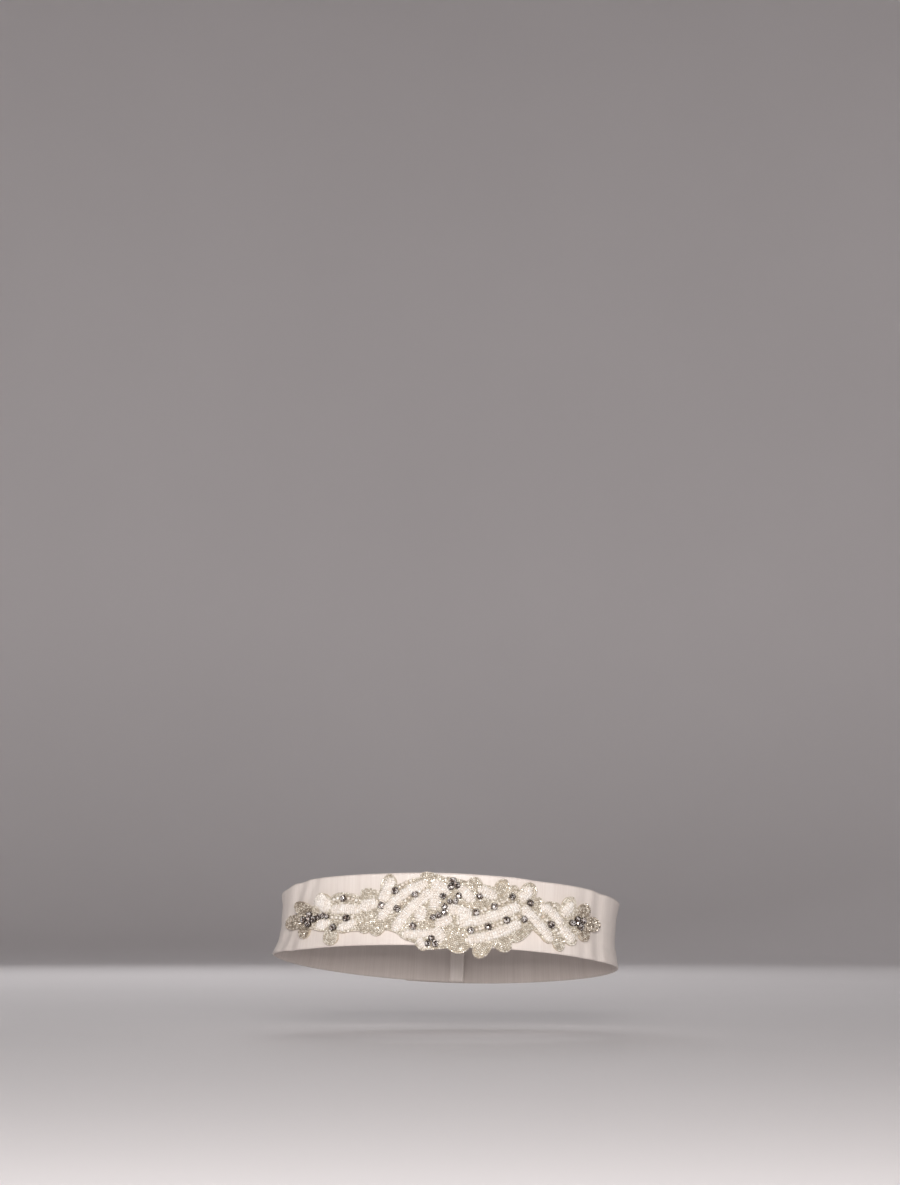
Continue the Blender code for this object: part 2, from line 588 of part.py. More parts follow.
def build_hook(name, up, collection):
    """A flat hook under the over end, with its plate above the bar, its lip below and its bend to the end."""
    low, high = GAP, FASTENING_SPACE - GAP
    middle, outer = (low + high) / 2, (high - low) / 2
    bend = (HOOK_BEND, middle)
    outline = [(-HOOK_PLATE, high)]
    outline += arc(bend, outer, 90, -90)
    outline += [(-HOOK_LIP, low), (-HOOK_LIP, low + METAL_THICK)]
    outline += arc(bend, outer - METAL_THICK, -90, 90)
    outline += [(-HOOK_PLATE, high - METAL_THICK)]
    stand = Matrix.Rotation(math.radians(90), 4, "X")
    return bent_strip(name, outline, HOOK_WIDE, fastening_frame(up) @ stand, collection)


def build_bar(name, up, collection):
    """The bar on the under end that a hook holds: a bridge between two sewn feet."""
    low = GAP
    high = FASTENING_SPACE / 2 + METAL_THICK / 2
    span, foot = BAR_HALF_SPAN, BAR_HALF_SPAN + BAR_FOOT
    half = [(foot, low), (foot, low + METAL_THICK), (span + METAL_THICK, low + METAL_THICK),
            (span, high)]
    inner = [(span, low), (span - METAL_THICK, high - METAL_THICK)]
    outline = half + [(-x, y) for x, y in half[::-1]]
    outline += [(-x, y) for x, y in inner] + inner[::-1]
    stand = Matrix.Rotation(math.radians(90), 4, "Z") @ Matrix.Rotation(math.radians(90), 4, "X")
    shift = Matrix.Translation((BAR_IN_HOOK, 0, 0))
    return bent_strip(name, outline, BAR_WIDE, fastening_frame(up) @ shift @ stand, collection)


def main():
    for old in list(bpy.data.objects):
        bpy.data.objects.remove(old)
    collection = bpy.data.collections.new("bridal_sash")
    bpy.context.scene.collection.children.link(collection)
    build_ribbon(collection)
    build_applique(collection)
    for number, up in enumerate(HOOK_HEIGHTS, 1):
        build_hook(f"hook_{number}", up, collection)
        build_bar(f"bar_{number}", up, collection)


main()
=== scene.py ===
"""Looks of the bridal sash: satin ribbon, beadwork sewn to net, and the studio that it is seen in.

Metres, +Z up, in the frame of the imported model. The wearer faces -Y. Tables are in millimetres.
"""

import math
from collections import namedtuple

import bpy
import numpy as np
from mathutils import Matrix, Vector


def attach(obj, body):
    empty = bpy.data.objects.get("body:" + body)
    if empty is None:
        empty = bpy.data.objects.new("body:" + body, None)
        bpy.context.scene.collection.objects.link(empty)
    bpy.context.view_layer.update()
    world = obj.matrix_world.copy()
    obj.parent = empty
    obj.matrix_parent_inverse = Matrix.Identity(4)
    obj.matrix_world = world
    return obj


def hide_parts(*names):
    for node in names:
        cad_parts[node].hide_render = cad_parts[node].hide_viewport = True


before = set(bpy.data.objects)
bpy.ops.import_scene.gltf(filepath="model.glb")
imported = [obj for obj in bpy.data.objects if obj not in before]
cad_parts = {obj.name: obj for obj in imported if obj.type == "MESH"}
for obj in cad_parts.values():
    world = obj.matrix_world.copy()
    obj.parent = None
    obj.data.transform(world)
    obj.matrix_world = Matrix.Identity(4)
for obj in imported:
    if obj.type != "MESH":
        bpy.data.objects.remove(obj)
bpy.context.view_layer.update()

MM = 0.001
RANDOM = np.random.default_rng(7)

# The waist and the ribbon round it, as in the solids
HALF_WIDTH = 124 * MM
HALF_DEPTH = 95 * MM
LEAN_BACK = math.radians(9.2)
DROP_RIGHT = math.radians(2.0)
RIBBON_WIDTH = 52 * MM
RIBBON_THICK = 1.0 * MM
GAP = 0.3 * MM
NUDGE = 0.1 * MM
FASTENING_SPACE = 3.0 * MM
OVER_END = 30 * MM
UNDER_END = 12 * MM
LIFT_START = 95 * MM
LIFT_FULL = 24 * MM
HEM_DEPTH = 10 * MM
HEM_TURN = 1.15 * MM

Section = namedtuple("Section", "angle_deg top_flare_mm bottom_flare_mm top_share bottom_share")
SECTIONS = [Section(*row) for row in [
    (-180, 1.4, 1.6, 0.98, 0.98),
    (-110, 1.2, 4.0, 0.85, 0.88),
    (-90, 0.8, 5.6, 0.81, 0.86),
    (-75, 0.7, 3.9, 0.825, 0.915),
    (-63, 0.6, 2.0, 0.91, 0.98),
    (-52, 0.6, 1.3, 0.96, 1.0),
    (-35, 0.6, 1.1, 0.965, 1.0),
    (0, 0.6, 0.8, 1.0, 1.0),
    (20, 0.8, 0.9, 0.985, 1.0),
    (32, 0.9, 0.9, 0.945, 1.0),
    (52, 1.0, 1.0, 0.95, 1.0),
    (66, 1.4, 1.4, 0.90, 0.985),
    (90, 2.6, 2.8, 0.885, 0.945),
    (180, 1.4, 1.6, 0.98, 0.98),
]]

# Soft troughs in the ribbon, from one end to the other in the flat ribbon's own measure, as in the solids
Crease = namedtuple("Crease", "along0_mm up0_mm along1_mm up1_mm depth_mm wide_mm")
CREASE_FADE = 0.25
CREASES = [Crease(*row) for row in [
    (-93, 52, -145, -52, 0.9, 5.0),
    (-108, 52, -160, -52, 1.4, 6.0),
    (108, 52, 108, -52, 0.9, 5.0),
    (124, 52, 124, -52, 1.4, 6.5),
    (-206, 10, -158, 16, 0.9, 5.0),
    (-214, -4, -166, 1, 0.8, 4.5),
    (146, -10, 206, -6, 0.5, 5.0),
    (262, 9, 334, 3, 1.1, 5.5),
    (276, -13, 338, -9, 0.8, 4.5),
    (-322, -6, -258, -11, 1.0, 5.5),
    (-318, 12, -268, 14, 0.7, 4.5),
]]

# Finer puckers that the cloth has besides: by the applique's ends, at the folds and over the fastening
FINE_CREASES = [Crease(*row) for row in [
    (-136, -6, -172, -2, 0.35, 2.2), (-132, 8, -158, 13, 0.3, 2.0),
    (-141, -18, -178, -14, 0.3, 2.4), (128, 4, 156, 9, 0.25, 2.0),
    (126, -14, 166, -17, 0.3, 2.4), (292, 1, 330, -2, 0.35, 2.0),
    (238, 15, 296, 17, 0.3, 2.6), (-300, 3, -246, 0, 0.35, 2.4),
    (-236, 15, -196, 12, 0.3, 2.6), (204, -8, 252, -12, 0.3, 2.8),
    (-252, -15, -214, -18, 0.3, 2.4),
]]

# The applique, as it is seen from the front at this distance
VIEW_DISTANCE = 2.0
NET_THICK_MM = 1.0
GROUND_HIGH_MM = 0.9
LEAF_HIGH_MM = 1.5
PAD_HIGH_MM = 3.4
STONE_HIGH_MM = 4.0
SOLVER_STEPS = 12
LEAF_WIDEST = 0.58
LEAF_FOOT = 0.45

Pad = namedtuple("Pad", "width path")
PADS = [Pad(*row) for row in [
    (11.0, [(-91.4, 5.6), (-88.6, 3.0)]),
    (6.4, [(-81.6, 0.3), (-74.0, 0.5), (-66.0, 0.2)]),
    (7.6, [(-59.6, 2.8), (-54.5, 4.2)]),
    (6.6, [(-92.0, -10.8), (-88.0, -9.8)]),
    (6.0, [(-76.4, -12.4), (-69.0, -9.8)]),
    (7.6, [(-42.4, 18.6), (-44.8, 12.6), (-46.6, 8.8)]),
    (6.4, [(-47.8, -4.4), (-42.4, 2.4), (-37.2, 7.6), (-27.0, 14.2), (-18.6, 17.8)]),
    (6.8, [(-37.4, -11.6), (-33.0, -5.4), (-27.6, 0.8), (-20.6, 6.8), (-14.8, 11.2)]),
    (7.2, [(-8.6, 17.2), (-3.4, 13.6)]),
    (6.6, [(-9.8, 10.8), (-10.4, 3.2)]),
    (8.0, [(-20.0, -1.8), (-21.0, -4.2)]),
    (6.8, [(-6.0, -9.0), (-1.4, -7.4)]),
    (5.8, [(-30.2, -17.0), (-20.0, -16.8), (-12.6, -16.4)]),
    (8.0, [(-8.0, -16.4), (-6.6, -18.6)]),
    (5.2, [(-21.0, -22.0), (-18.6, -25.0)]),
    (7.2, [(2.6, 0.6), (7.4, -1.2), (12.2, -2.4)]),
    (7.4, [(10.6, 13.2), (14.8, 8.8)]),
    (7.4, [(25.0, 12.8), (30.2, 10.6)]),
    (6.8, [(9.6, -8.6), (20.0, -7.7), (31.0, -4.8), (41.0, -1.2), (47.4, 1.6)]),
    (6.4, [(15.4, -21.0), (24.0, -19.5), (34.0, -16.5), (43.0, -13.0), (48.0, -10.8)]),
    (7.2, [(56.4, 12.6), (53.6, 9.2)]),
    (6.6, [(54.8, -0.6), (60.0, -6.0), (65.6, -12.2), (71.2, -19.2)]),
    (6.2, [(67.8, 1.6), (73.2, -2.2), (78.8, -8.2)]),
    (7.0, [(82.0, -15.0), (86.6, -19.6)]),
    (7.0, [(86.2, 1.8), (83.0, -1.8)]),
]]

Leaf = namedtuple("Leaf", "base tip width roundness")
LEAVES = [Leaf(*row) for row in [
    ((-97.4, -2.4), (-109.8, 3.0), 10.6, 0.9),
    ((-101.6, -7.8), (-116.0, -10.0), 11.4, 1.0),
    ((-100.8, -8.8), (-105.6, -20.6), 12.0, 0.5),
    ((-83.6, -13.0), (-85.2, -25.2), 12.8, 1.0),
    ((-62.6, 7.0), (-84.2, 7.8), 9.8, 1.0),
    ((-48.8, 9.6), (-63.0, 12.0), 8.8, 1.0),
    ((-58.4, -0.6), (-61.0, -17.0), 11.6, 1.0),
    ((-50.6, 0.0), (-52.2, -18.8), 13.2, 1.0),
    ((-44.6, 4.6), (-41.8, 25.4), 12.4, 0.7),
    ((-3.0, 20.8), (-20.6, 24.6), 7.0, 1.0),
    ((9.6, 18.4), (-5.0, 20.8), 6.8, 1.0),
    ((19.8, 9.0), (17.8, 23.2), 11.4, 1.0),
    ((34.8, 8.6), (40.8, 21.6), 11.2, 0.3),
    ((43.0, 8.0), (48.4, 16.8), 7.6, 0.9),
    ((53.6, 6.0), (60.0, 18.8), 12.0, 0.6),
    ((56.0, 4.0), (67.2, 6.2), 7.6, 0.9),
    ((66.0, 2.6), (79.8, 1.8), 7.6, 0.9),
    ((82.8, -5.0), (88.4, 9.0), 12.6, 0.4),
    ((92.2, -6.4), (99.8, 3.0), 11.4, 0.4),
    ((94.4, -9.8), (107.4, -11.0), 11.2, 0.9),
    ((93.8, -11.0), (98.4, -22.6), 11.4, 0.5),
    ((76.4, -13.0), (79.2, -29.6), 10.4, 0.9),
    ((78.6, -12.0), (90.2, -24.2), 11.4, 1.0),
    ((8.0, -12.0), (5.4, -31.2), 18.0, 0.9),
    ((29.6, -21.0), (18.0, -33.2), 11.6, 0.9),
    ((31.0, -20.0), (44.2, -27.8), 11.4, 1.0),
    ((58.6, -11.8), (43.6, -22.6), 8.6, 0.8),
]]

GROUND = [
    (-99, 1), (-92, 4), (-86, 4), (-66, 9), (-56, 10), (-50, 13), (-42, 14), (-36, 17.5), (-28, 21.5),
    (-18, 23), (-8, 22), (2, 22), (12, 20.5), (22, 18.5), (30, 16.5), (38, 15), (46, 14), (54, 13),
    (60, 9), (66, 5.5), (76, 3), (84, 3), (91, 0), (95, -5), (95, -12), (90, -19), (83, -20),
    (77, -19), (72, -23), (66, -20), (60, -14.5), (54, -16.5), (46, -21), (38, -24), (28, -26),
    (14, -27), (2, -27), (-8, -28), (-18, -28), (-23, -24), (-32, -21), (-38, -16.5), (-44, -14.5),
    (-52, -14), (-64, -15), (-78, -16.2), (-84, -15), (-90, -15.4), (-97, -14), (-103, -11),
    (-104, -7), (-102, -3),
]

Stone = namedtuple("Stone", "across up wide")
STONES = [Stone(*row) for row in [
    (-75.3, 7.8, 4.4), (-73.1, -6.0, 5.0), (-82.5, -12.6, 4.8),
    (-48.0, 3.0, 4.8), (-38.2, 13.3, 4.8), (-24.2, 10.7, 4.4), (-36.8, 0.7, 4.8),
    (-25.6, -11.6, 4.8), (21.8, 9.4, 4.4), (19.2, -2.0, 4.6), (32.2, 2.2, 4.6),
    (45.0, 9.0, 4.4), (57.8, 4.6, 4.6), (15.4, -14.8, 4.6), (27.8, -12.2, 4.8),
    (41.0, -7.6, 4.8), (53.4, -7.0, 4.6), (72.6, -10.8, 5.2),
    (-4.3, 9.6, 4.4), (6.9, 9.7, 4.3), (0.6, 5.9, 3.8), (4.7, 5.7, 3.8),
    (-3.1, 2.0, 4.2), (-3.4, -1.9, 4.0), (-7.5, -4.0, 4.2), (-11.5, -5.4, 4.0),
    (2.9, 20.3, 4.6), (1.3, 16.2, 4.6), (5.9, 17.0, 4.5),
    (-12.6, -20.0, 4.4), (-15.2, -24.0, 4.3), (-9.8, -24.0, 4.5),
    (-99.4, -3.9, 4.6), (-100.2, -10.2, 4.6), (-103.6, -7.2, 4.6), (-96.4, -6.8, 4.6),
    (-100.0, -7.0, 3.8), (-92.8, -5.0, 3.8), (-89.9, -4.4, 3.8), (-87.0, -4.8, 3.6),
    (88.0, -9.5, 5.2), (91.5, -6.6, 4.0), (95.2, -8.0, 4.8), (93.6, -12.2, 4.8),
    (91.8, -9.8, 3.4),
]]

STONE_SIDES = 5

# One stone of the right flower is longer than wide
LONG_STONE = (88.0, -9.5)
LONG_STONE_SIZE = (5.6, 4.2)

# Rows of pearls beside the stones
PEARL_WIDE_MM = 2.6
PEARLS = [
    (-81.7, 7.0), (-79.0, 8.0), (-71.5, 7.7), (-68.5, 7.4), (-65.8, 6.5),
    (-83.0, -5.6), (-80.0, -5.8), (-76.9, -6.0), (-68.6, -5.2),
    (-33.0, 17.4), (-30.2, 19.0), (-27.4, 20.2),
    (-40.5, -2.0), (-33.6, 3.8), (-31.0, 6.0), (-28.4, 8.2), (-20.8, 12.8), (-18.2, 14.4),
    (23.0, -1.0), (25.8, 0.0), (28.6, 1.0), (35.8, 3.8), (38.6, 5.2), (41.4, 6.8), (47.6, 12.2),
    (19.5, -14.2), (22.0, -13.6), (24.2, -12.8), (31.4, -11.4), (34.4, -10.4), (37.2, -9.4),
    (44.8, -6.6), (47.4, -5.6), (50.0, -4.6),
    (64.5, -3.6), (67.2, -5.2), (69.4, -7.6), (75.8, -14.6), (77.6, -17.0), (74.8, 2.8),
]

# Beads. Seed beads fill the leaves and the ground, and longer ones lie in rows across the padded bars.
SEED_WIDE = 1.42
SEED_STEP = 1.4
ROW_STEP = 1.36
GROUND_BEAD = 1.34
BAR_STEP = 1.6
BAR_BEAD_LONG = 2.9
BAR_BEAD_SWELL = 1.32

# Leaves that aren't filled with rings, by their place in LEAVES, and bars whose beads are wider or narrower
LEAF_FILLS = {12: "lengthwise", 23: "arcs", 24: "arcs"}
BAR_STEPS = {18: 1.9, 19: 1.9, 21: 1.5}

# Petals of the flowers at both ends are of darker beads
FLOWER_LEAVES = {0, 1, 2, 18, 19, 20}

# Room that beads leave round a stone and a pearl, rows along the net's edge, and waves of the rows inside it
STONE_ROOM = 0.25
PEARL_ROOM = 0.1
EDGE_ROWS = (0.5, 1.8)
WAVE_HIGH = 1.0
WAVE_LONG = 6.0
WAVE_SHIFT = 0.15

# Arcs of beads in a leaf run round a point behind its foot, so far to each side in radians
ARC_BEHIND = 2.0
ARC_TURN = 1.2

# Beads arch over a bar so far to each side in radians, from this height over the net
BAR_TURN = 1.4
BAR_FOOT = 0.35

# The photograph is 900 by 1185 pixels. The sash's nearest point is seen at this pixel, from the side of
# the sash that it is level with, and one pixel there is so many millimetres.
PHOTO_SIZE = (900, 1185)
SASH_AT = (449, 911.5)
PIXEL_MM = 0.71
SENSOR = 36

TURN = Matrix.Rotation(DROP_RIGHT, 3, "Y") @ Matrix.Rotation(-LEAN_BACK, 3, "X")
TABLE_TURNS = 1.3
TABLE_POINTS = 6000


def girth_table():
    """Directions round the waist, in radians from the front, and the distance to each along the ribbon."""
    angle = np.linspace(-TABLE_TURNS * math.pi, TABLE_TURNS * math.pi, TABLE_POINTS + 1)
    step = np.hypot(np.diff(HALF_WIDTH * np.sin(angle)), np.diff(HALF_DEPTH * np.cos(angle)))
    along = np.concatenate([[0], np.cumsum(step)])
    return angle, along - along[TABLE_POINTS // 2]


ANGLES, ALONGS = girth_table()
HALF_GIRTH = float(np.interp(math.pi, ANGLES, ALONGS))


def eased(share):
    """0 to 1 with a soft start and end."""
    share = np.clip(share, 0, 1)
    return share * share * (3 - 2 * share)


def unit(vectors):
    return vectors / np.linalg.norm(vectors, axis=-1, keepdims=True)


def by_direction(angle, column):
    """A column of SECTIONS at these directions, eased from one section to the next."""
    degrees = (np.degrees(angle) + 180) % 360 - 180
    stations = np.array([row.angle_deg for row in SECTIONS], float)
    values = np.array([getattr(row, column) for row in SECTIONS], float)
    right = np.clip(np.searchsorted(stations, degrees, side="right"), 1, len(stations) - 1)
    share = (degrees - stations[right - 1]) / (stations[right] - stations[right - 1])
    return values[right - 1] + (values[right] - values[right - 1]) * eased(share)


def by_half(angle, above, column):
    """Such values for the upper half of the ribbon where above is true, and else for the lower half."""
    return np.where(above, by_direction(angle, "top_" + column), by_direction(angle, "bottom_" + column))


def crease_depth(along, up, creases):
    """How deep these troughs are at points of the flat ribbon."""
    depth = np.zeros(np.shape(along))
    for row in creases:
        start = np.array([row.along0_mm, row.up0_mm]) * MM
        run = np.array([row.along1_mm, row.up1_mm]) * MM - start
        share = ((along - start[0]) * run[0] + (up - start[1]) * run[1]) / (run @ run)
        inside = np.clip(share, 0, 1)
        away = np.hypot(along - start[0] - inside * run[0], up - start[1] - inside * run[1])
        fade = eased(inside / CREASE_FADE) * eased((1 - inside) / CREASE_FADE)
        depth = depth + row.depth_mm * MM * fade * np.exp(-((away / (row.wide_mm * MM)) ** 2))
    return depth


def waist_ring(angle):
    """Points of the level waist in these directions, and the unit directions out from it there."""
    side, front = np.sin(angle), -np.cos(angle)
    out = unit(np.stack([side / HALF_WIDTH, front / HALF_DEPTH], -1))
    return np.stack([HALF_WIDTH * side, HALF_DEPTH * front], -1), out


def on_waist(along, up, lift):
    """Points over the flat ribbon: along it from the front, up from its middle line, out from its face."""
    along, up, lift = np.broadcast_arrays(along, up, lift)
    angle = np.interp(along, ALONGS, ANGLES)
    ring, out = waist_ring(angle)
    reach = lift + by_half(angle, up > 0, "flare_mm") * MM * (2 * up / RIBBON_WIDTH) ** 2
    height = up * by_half(angle, up > 0, "share")
    return np.concatenate([ring + out * reach[..., None], height[..., None]], -1) @ np.array(TURN).T


def seen_from_front(along, up, lift):
    """Where a point over the ribbon shows from the front, in millimetres from its nearest point."""
    point = on_waist(along, up, lift) - on_waist(0.0, 0.0, 0.0)
    scale = VIEW_DISTANCE / (VIEW_DISTANCE + point[..., 1])
    return np.stack([point[..., 0], point[..., 2]], -1) * scale[..., None] / MM


def flat_from_front(across, up, high):
    """Where a motif this high stands on the flat ribbon, in millimetres, to show there from the front."""
    target = np.array([across, up], float)
    lift = GAP + (NET_THICK_MM + high / 2) * MM
    flat = target * MM
    for _ in range(SOLVER_STEPS):
        seen = seen_from_front(*flat, lift)
        slopes = [(seen_from_front(flat[0] + NUDGE, flat[1], lift) - seen) / NUDGE]
        slopes.append((seen_from_front(flat[0], flat[1] + NUDGE, lift) - seen) / NUDGE)
        flat = flat + np.linalg.solve(np.array(slopes).T, target - seen)
    return flat / MM


def smooth_path(points, steps):
    """A Catmull-Rom curve through the points, with so many steps from each to the next."""
    points = np.array(points, float)
    if len(points) == 2:
        return points[0] + (points[1] - points[0]) * np.linspace(0, 1, steps + 1)[:, None]
    padded = np.vstack([2 * points[0] - points[1], points, 2 * points[-1] - points[-2]])
    curve = []
    for a, b, c, d in zip(padded, padded[1:], padded[2:], padded[3:]):
        for t in np.arange(steps) / steps:
            curve.append(0.5 * (2 * b + (c - a) * t + (2 * a - 5 * b + 4 * c - d) * t**2
                                + (3 * b - a - 3 * c + d) * t**3))
    return np.array(curve + [points[-1]])


def sideways(path):
    """Unit directions along a path, and to its left."""
    run = np.gradient(path, axis=0)
    run /= np.maximum(np.linalg.norm(run, axis=1, keepdims=True), 1e-9)
    return run, np.stack([-run[:, 1], run[:, 0]], 1)


def pad_outline(path, width, cap_steps=4):
    """A bar with round ends: both sides of the path, with a half circle round each end."""
    run, left = sideways(path)
    turns = np.linspace(0, math.pi, cap_steps + 1)[1:-1, None]
    tip_cap = path[-1] + width / 2 * (left[-1] * np.cos(turns) + run[-1] * np.sin(turns))
    base_cap = path[0] + width / 2 * (-left[0] * np.cos(turns) - run[0] * np.sin(turns))
    sides = [path + left * width / 2, tip_cap, (path - left * width / 2)[::-1], base_cap]
    return np.vstack(sides)


def leaf_outline(base, tip, width, roundness, inset=0.0, steps=7):
    """A leaf from its foot at the base to a tip that is a point or a round."""
    base, tip = np.array(base, float), np.array(tip, float)
    length = np.linalg.norm(tip - base)
    run = (tip - base) / length
    left = np.array([-run[1], run[0]])
    share = (1 - np.cos(np.linspace(0, math.pi, steps + 1))) / 2
    to_foot = np.clip(1 - share / LEAF_WIDEST, 0, 1)
    to_tip = np.clip((share - LEAF_WIDEST) / (1 - LEAF_WIDEST), 0, 1)
    bulge = np.sqrt(1 - (1 - LEAF_FOOT ** 2) * to_foot ** 2) * (1 - to_tip ** 2) ** (1 - roundness / 2)
    spine = base + run * (inset + share[:, None] * (length - 2 * inset))
    side = left * ((width / 2 - inset) * bulge)[:, None]
    return np.vstack([spine + side, (spine - side)[-2::-1]])


def depth_inside(points, outline):
    """How far points lie inside an outline, and 0 outside it."""
    start, end = outline, np.roll(outline, -1, axis=0)
    run = end - start
    offset = points[:, None] - start[None]
    share = np.clip((offset * run).sum(-1) / np.maximum((run * run).sum(-1), 1e-9), 0, 1)
    away = np.linalg.norm(offset - share[..., None] * run, axis=-1).min(1)
    above = (start[None, :, 1] > points[:, None, 1]) != (end[None, :, 1] > points[:, None, 1])
    drop = np.where(run[:, 1] == 0, 1, run[:, 1])
    crossing = start[:, 0] + (points[:, None, 1] - start[:, 1]) * run[:, 0] / drop
    inside = (above & (points[:, None, 0] < crossing)).sum(1) % 2 == 1
    return np.where(inside, away, 0)


def lengths_to(path):
    """The distance along a path to each of its points."""
    return np.concatenate([[0], np.cumsum(np.linalg.norm(np.diff(path, axis=0), axis=1))])


def at_lengths(path, lengths, at):
    """The points of a path at these distances along it."""
    return np.stack([np.interp(at, lengths, path[:, i]) for i in (0, 1)], 1)


def spaced(path, step, closed=False, near=0.3):
    """Evenly spaced points on a path, about so far apart, and the directions there, from what is near."""
    if closed:
        path = np.vstack([path, path[:1]])
    lengths = lengths_to(path)
    count = max(1, round(lengths[-1] / step))
    at = np.arange(count) / count * lengths[-1] if closed else np.linspace(0, lengths[-1], count + 1)
    run = at_lengths(path, lengths, at + near) - at_lengths(path, lengths, at - near)
    return at_lengths(path, lengths, at), run / np.maximum(np.linalg.norm(run, axis=1, keepdims=True), 1e-9)


# Bead shapes: points and faces, with the hole along X and a size of 1


def turned(profile, sides):
    """A closed turned shape round X, through rows of place along X and radius."""
    turns = np.arange(sides) * 2 * math.pi / sides
    points = np.array([(x, r * math.cos(t), r * math.sin(t)) for x, r in profile for t in turns])
    faces = []
    for ring in range(len(profile) - 1):
        for side in range(sides):
            a, b = ring * sides + side, ring * sides + (side + 1) % sides
            faces.append((a, a + sides, b + sides, b))
    faces.append(tuple(range(sides)))
    faces.append(tuple(range(len(points) - 1, len(points) - 1 - sides, -1)))
    return points, faces


def seed_bead():
    return turned([(-0.46, 0.24), (-0.26, 0.47), (0.26, 0.47), (0.46, 0.24)], 7)


def bar_bead():
    return turned([(-0.5, 0.2), (-0.46, 0.38), (-0.3, 0.48), (0.3, 0.48), (0.46, 0.38), (0.5, 0.2)], 8)


def pearl():
    turns = np.linspace(0, math.pi, 10)[1:-1]
    return turned([(-0.5 * math.cos(t), 0.5 * math.sin(t)) for t in turns], 14)


def ring_points(radius, height, count, first_turn=0.0):
    turns = (np.arange(count) + first_turn) * 2 * math.pi / count
    return np.stack([radius * np.cos(turns), radius * np.sin(turns), np.full(count, height)], 1)


def stone_shape():
    """A cut stone: a low top, a crown of facets round it, and a plain lower side."""
    sides = STONE_SIDES
    table, crown = ring_points(0.29, 0.34, sides), ring_points(0.41, 0.25, sides, 0.5)
    girdle, lower = ring_points(0.5, 0.1, 2 * sides), ring_points(0.46, -0.06, 2 * sides)
    points = np.vstack([[[0, 0, 0.385]], table, crown, girdle, lower])
    faces = []
    for k in range(sides):
        top, next_top = 1 + k, 1 + (k + 1) % sides
        mid, next_mid = top + sides, next_top + sides
        left, middle, right = (1 + 2 * sides + (2 * k + step) % (2 * sides) for step in range(3))
        faces += [(0, top, next_top), (top, mid, next_top), (mid, next_mid, next_top)]
        faces += [(mid, left, middle), (mid, middle, right), (mid, right, next_mid)]
    for k in range(2 * sides):
        here, there = 1 + 2 * sides + k, 1 + 2 * sides + (k + 1) % (2 * sides)
        faces.append((here, here + 2 * sides, there + 2 * sides, there))
    return points, faces


def setting_shape():
    """A stone's metal cup, turned round Z, with four claws over the stone's edge."""
    points, faces = turned([(-0.5, 0.36), (-0.46, 0.44), (0.0, 0.5), (0.1, 0.53), (0.12, 0.47)], 12)
    points = list(points[:, [1, 2, 0]])
    for claw in range(4):
        turn = math.radians(45 + 90 * claw)
        out = np.array([math.cos(turn), math.sin(turn), 0])
        aside = np.array([-math.sin(turn), math.cos(turn), 0])
        start = len(points)
        for radius, height, half in ((0.54, -0.2, 0.06), (0.56, 0.12, 0.06), (0.44, 0.27, 0.035)):
            middle = out * radius + np.array([0, 0, height])
            points += [middle - aside * half, middle + out * half, middle + aside * half, middle - out * half]
        for ring in (0, 4):
            for k in range(4):
                a, b = start + ring + k, start + ring + (k + 1) % 4
                faces.append((a, b, b + 4, a + 4))
        faces.append(tuple(range(start + 8, start + 12)))
    return np.array(points), faces


def frames_at(flat, lift, run, slope):
    """Places on the waist and their axes: X along the run, Z out. The slope is the run's rise."""
    along, up, out = flat[:, 0] * MM, flat[:, 1] * MM, lift * MM
    place = on_waist(along, up, out)
    by_along = unit(on_waist(along + NUDGE, up, out) - place)
    normal = unit(np.cross(by_along, on_waist(along, up + NUDGE, out) - place))
    by_up = np.cross(normal, by_along)
    x = unit(by_along * run[:, :1] + by_up * run[:, 1:] + normal * slope[:, None])
    y = unit(np.cross(normal, x))
    return place, np.stack([x, y, np.cross(x, y)], 2)


class Beads:
    """Where beads of one kind go: flat place, lift, direction, slope and size, all in millimetres."""

    def __init__(self):
        self.rows = []

    def add(self, flat, lift, run, wide, long, slope=0.0):
        flat = np.atleast_2d(flat)
        count = len(flat)
        columns = [flat, np.broadcast_to(lift, count)[:, None], np.broadcast_to(run, (count, 2))]
        columns += [np.broadcast_to(value, count)[:, None] for value in (slope, wide, long)]
        self.rows.append(np.hstack(columns))

    def table(self):
        return np.vstack(self.rows)


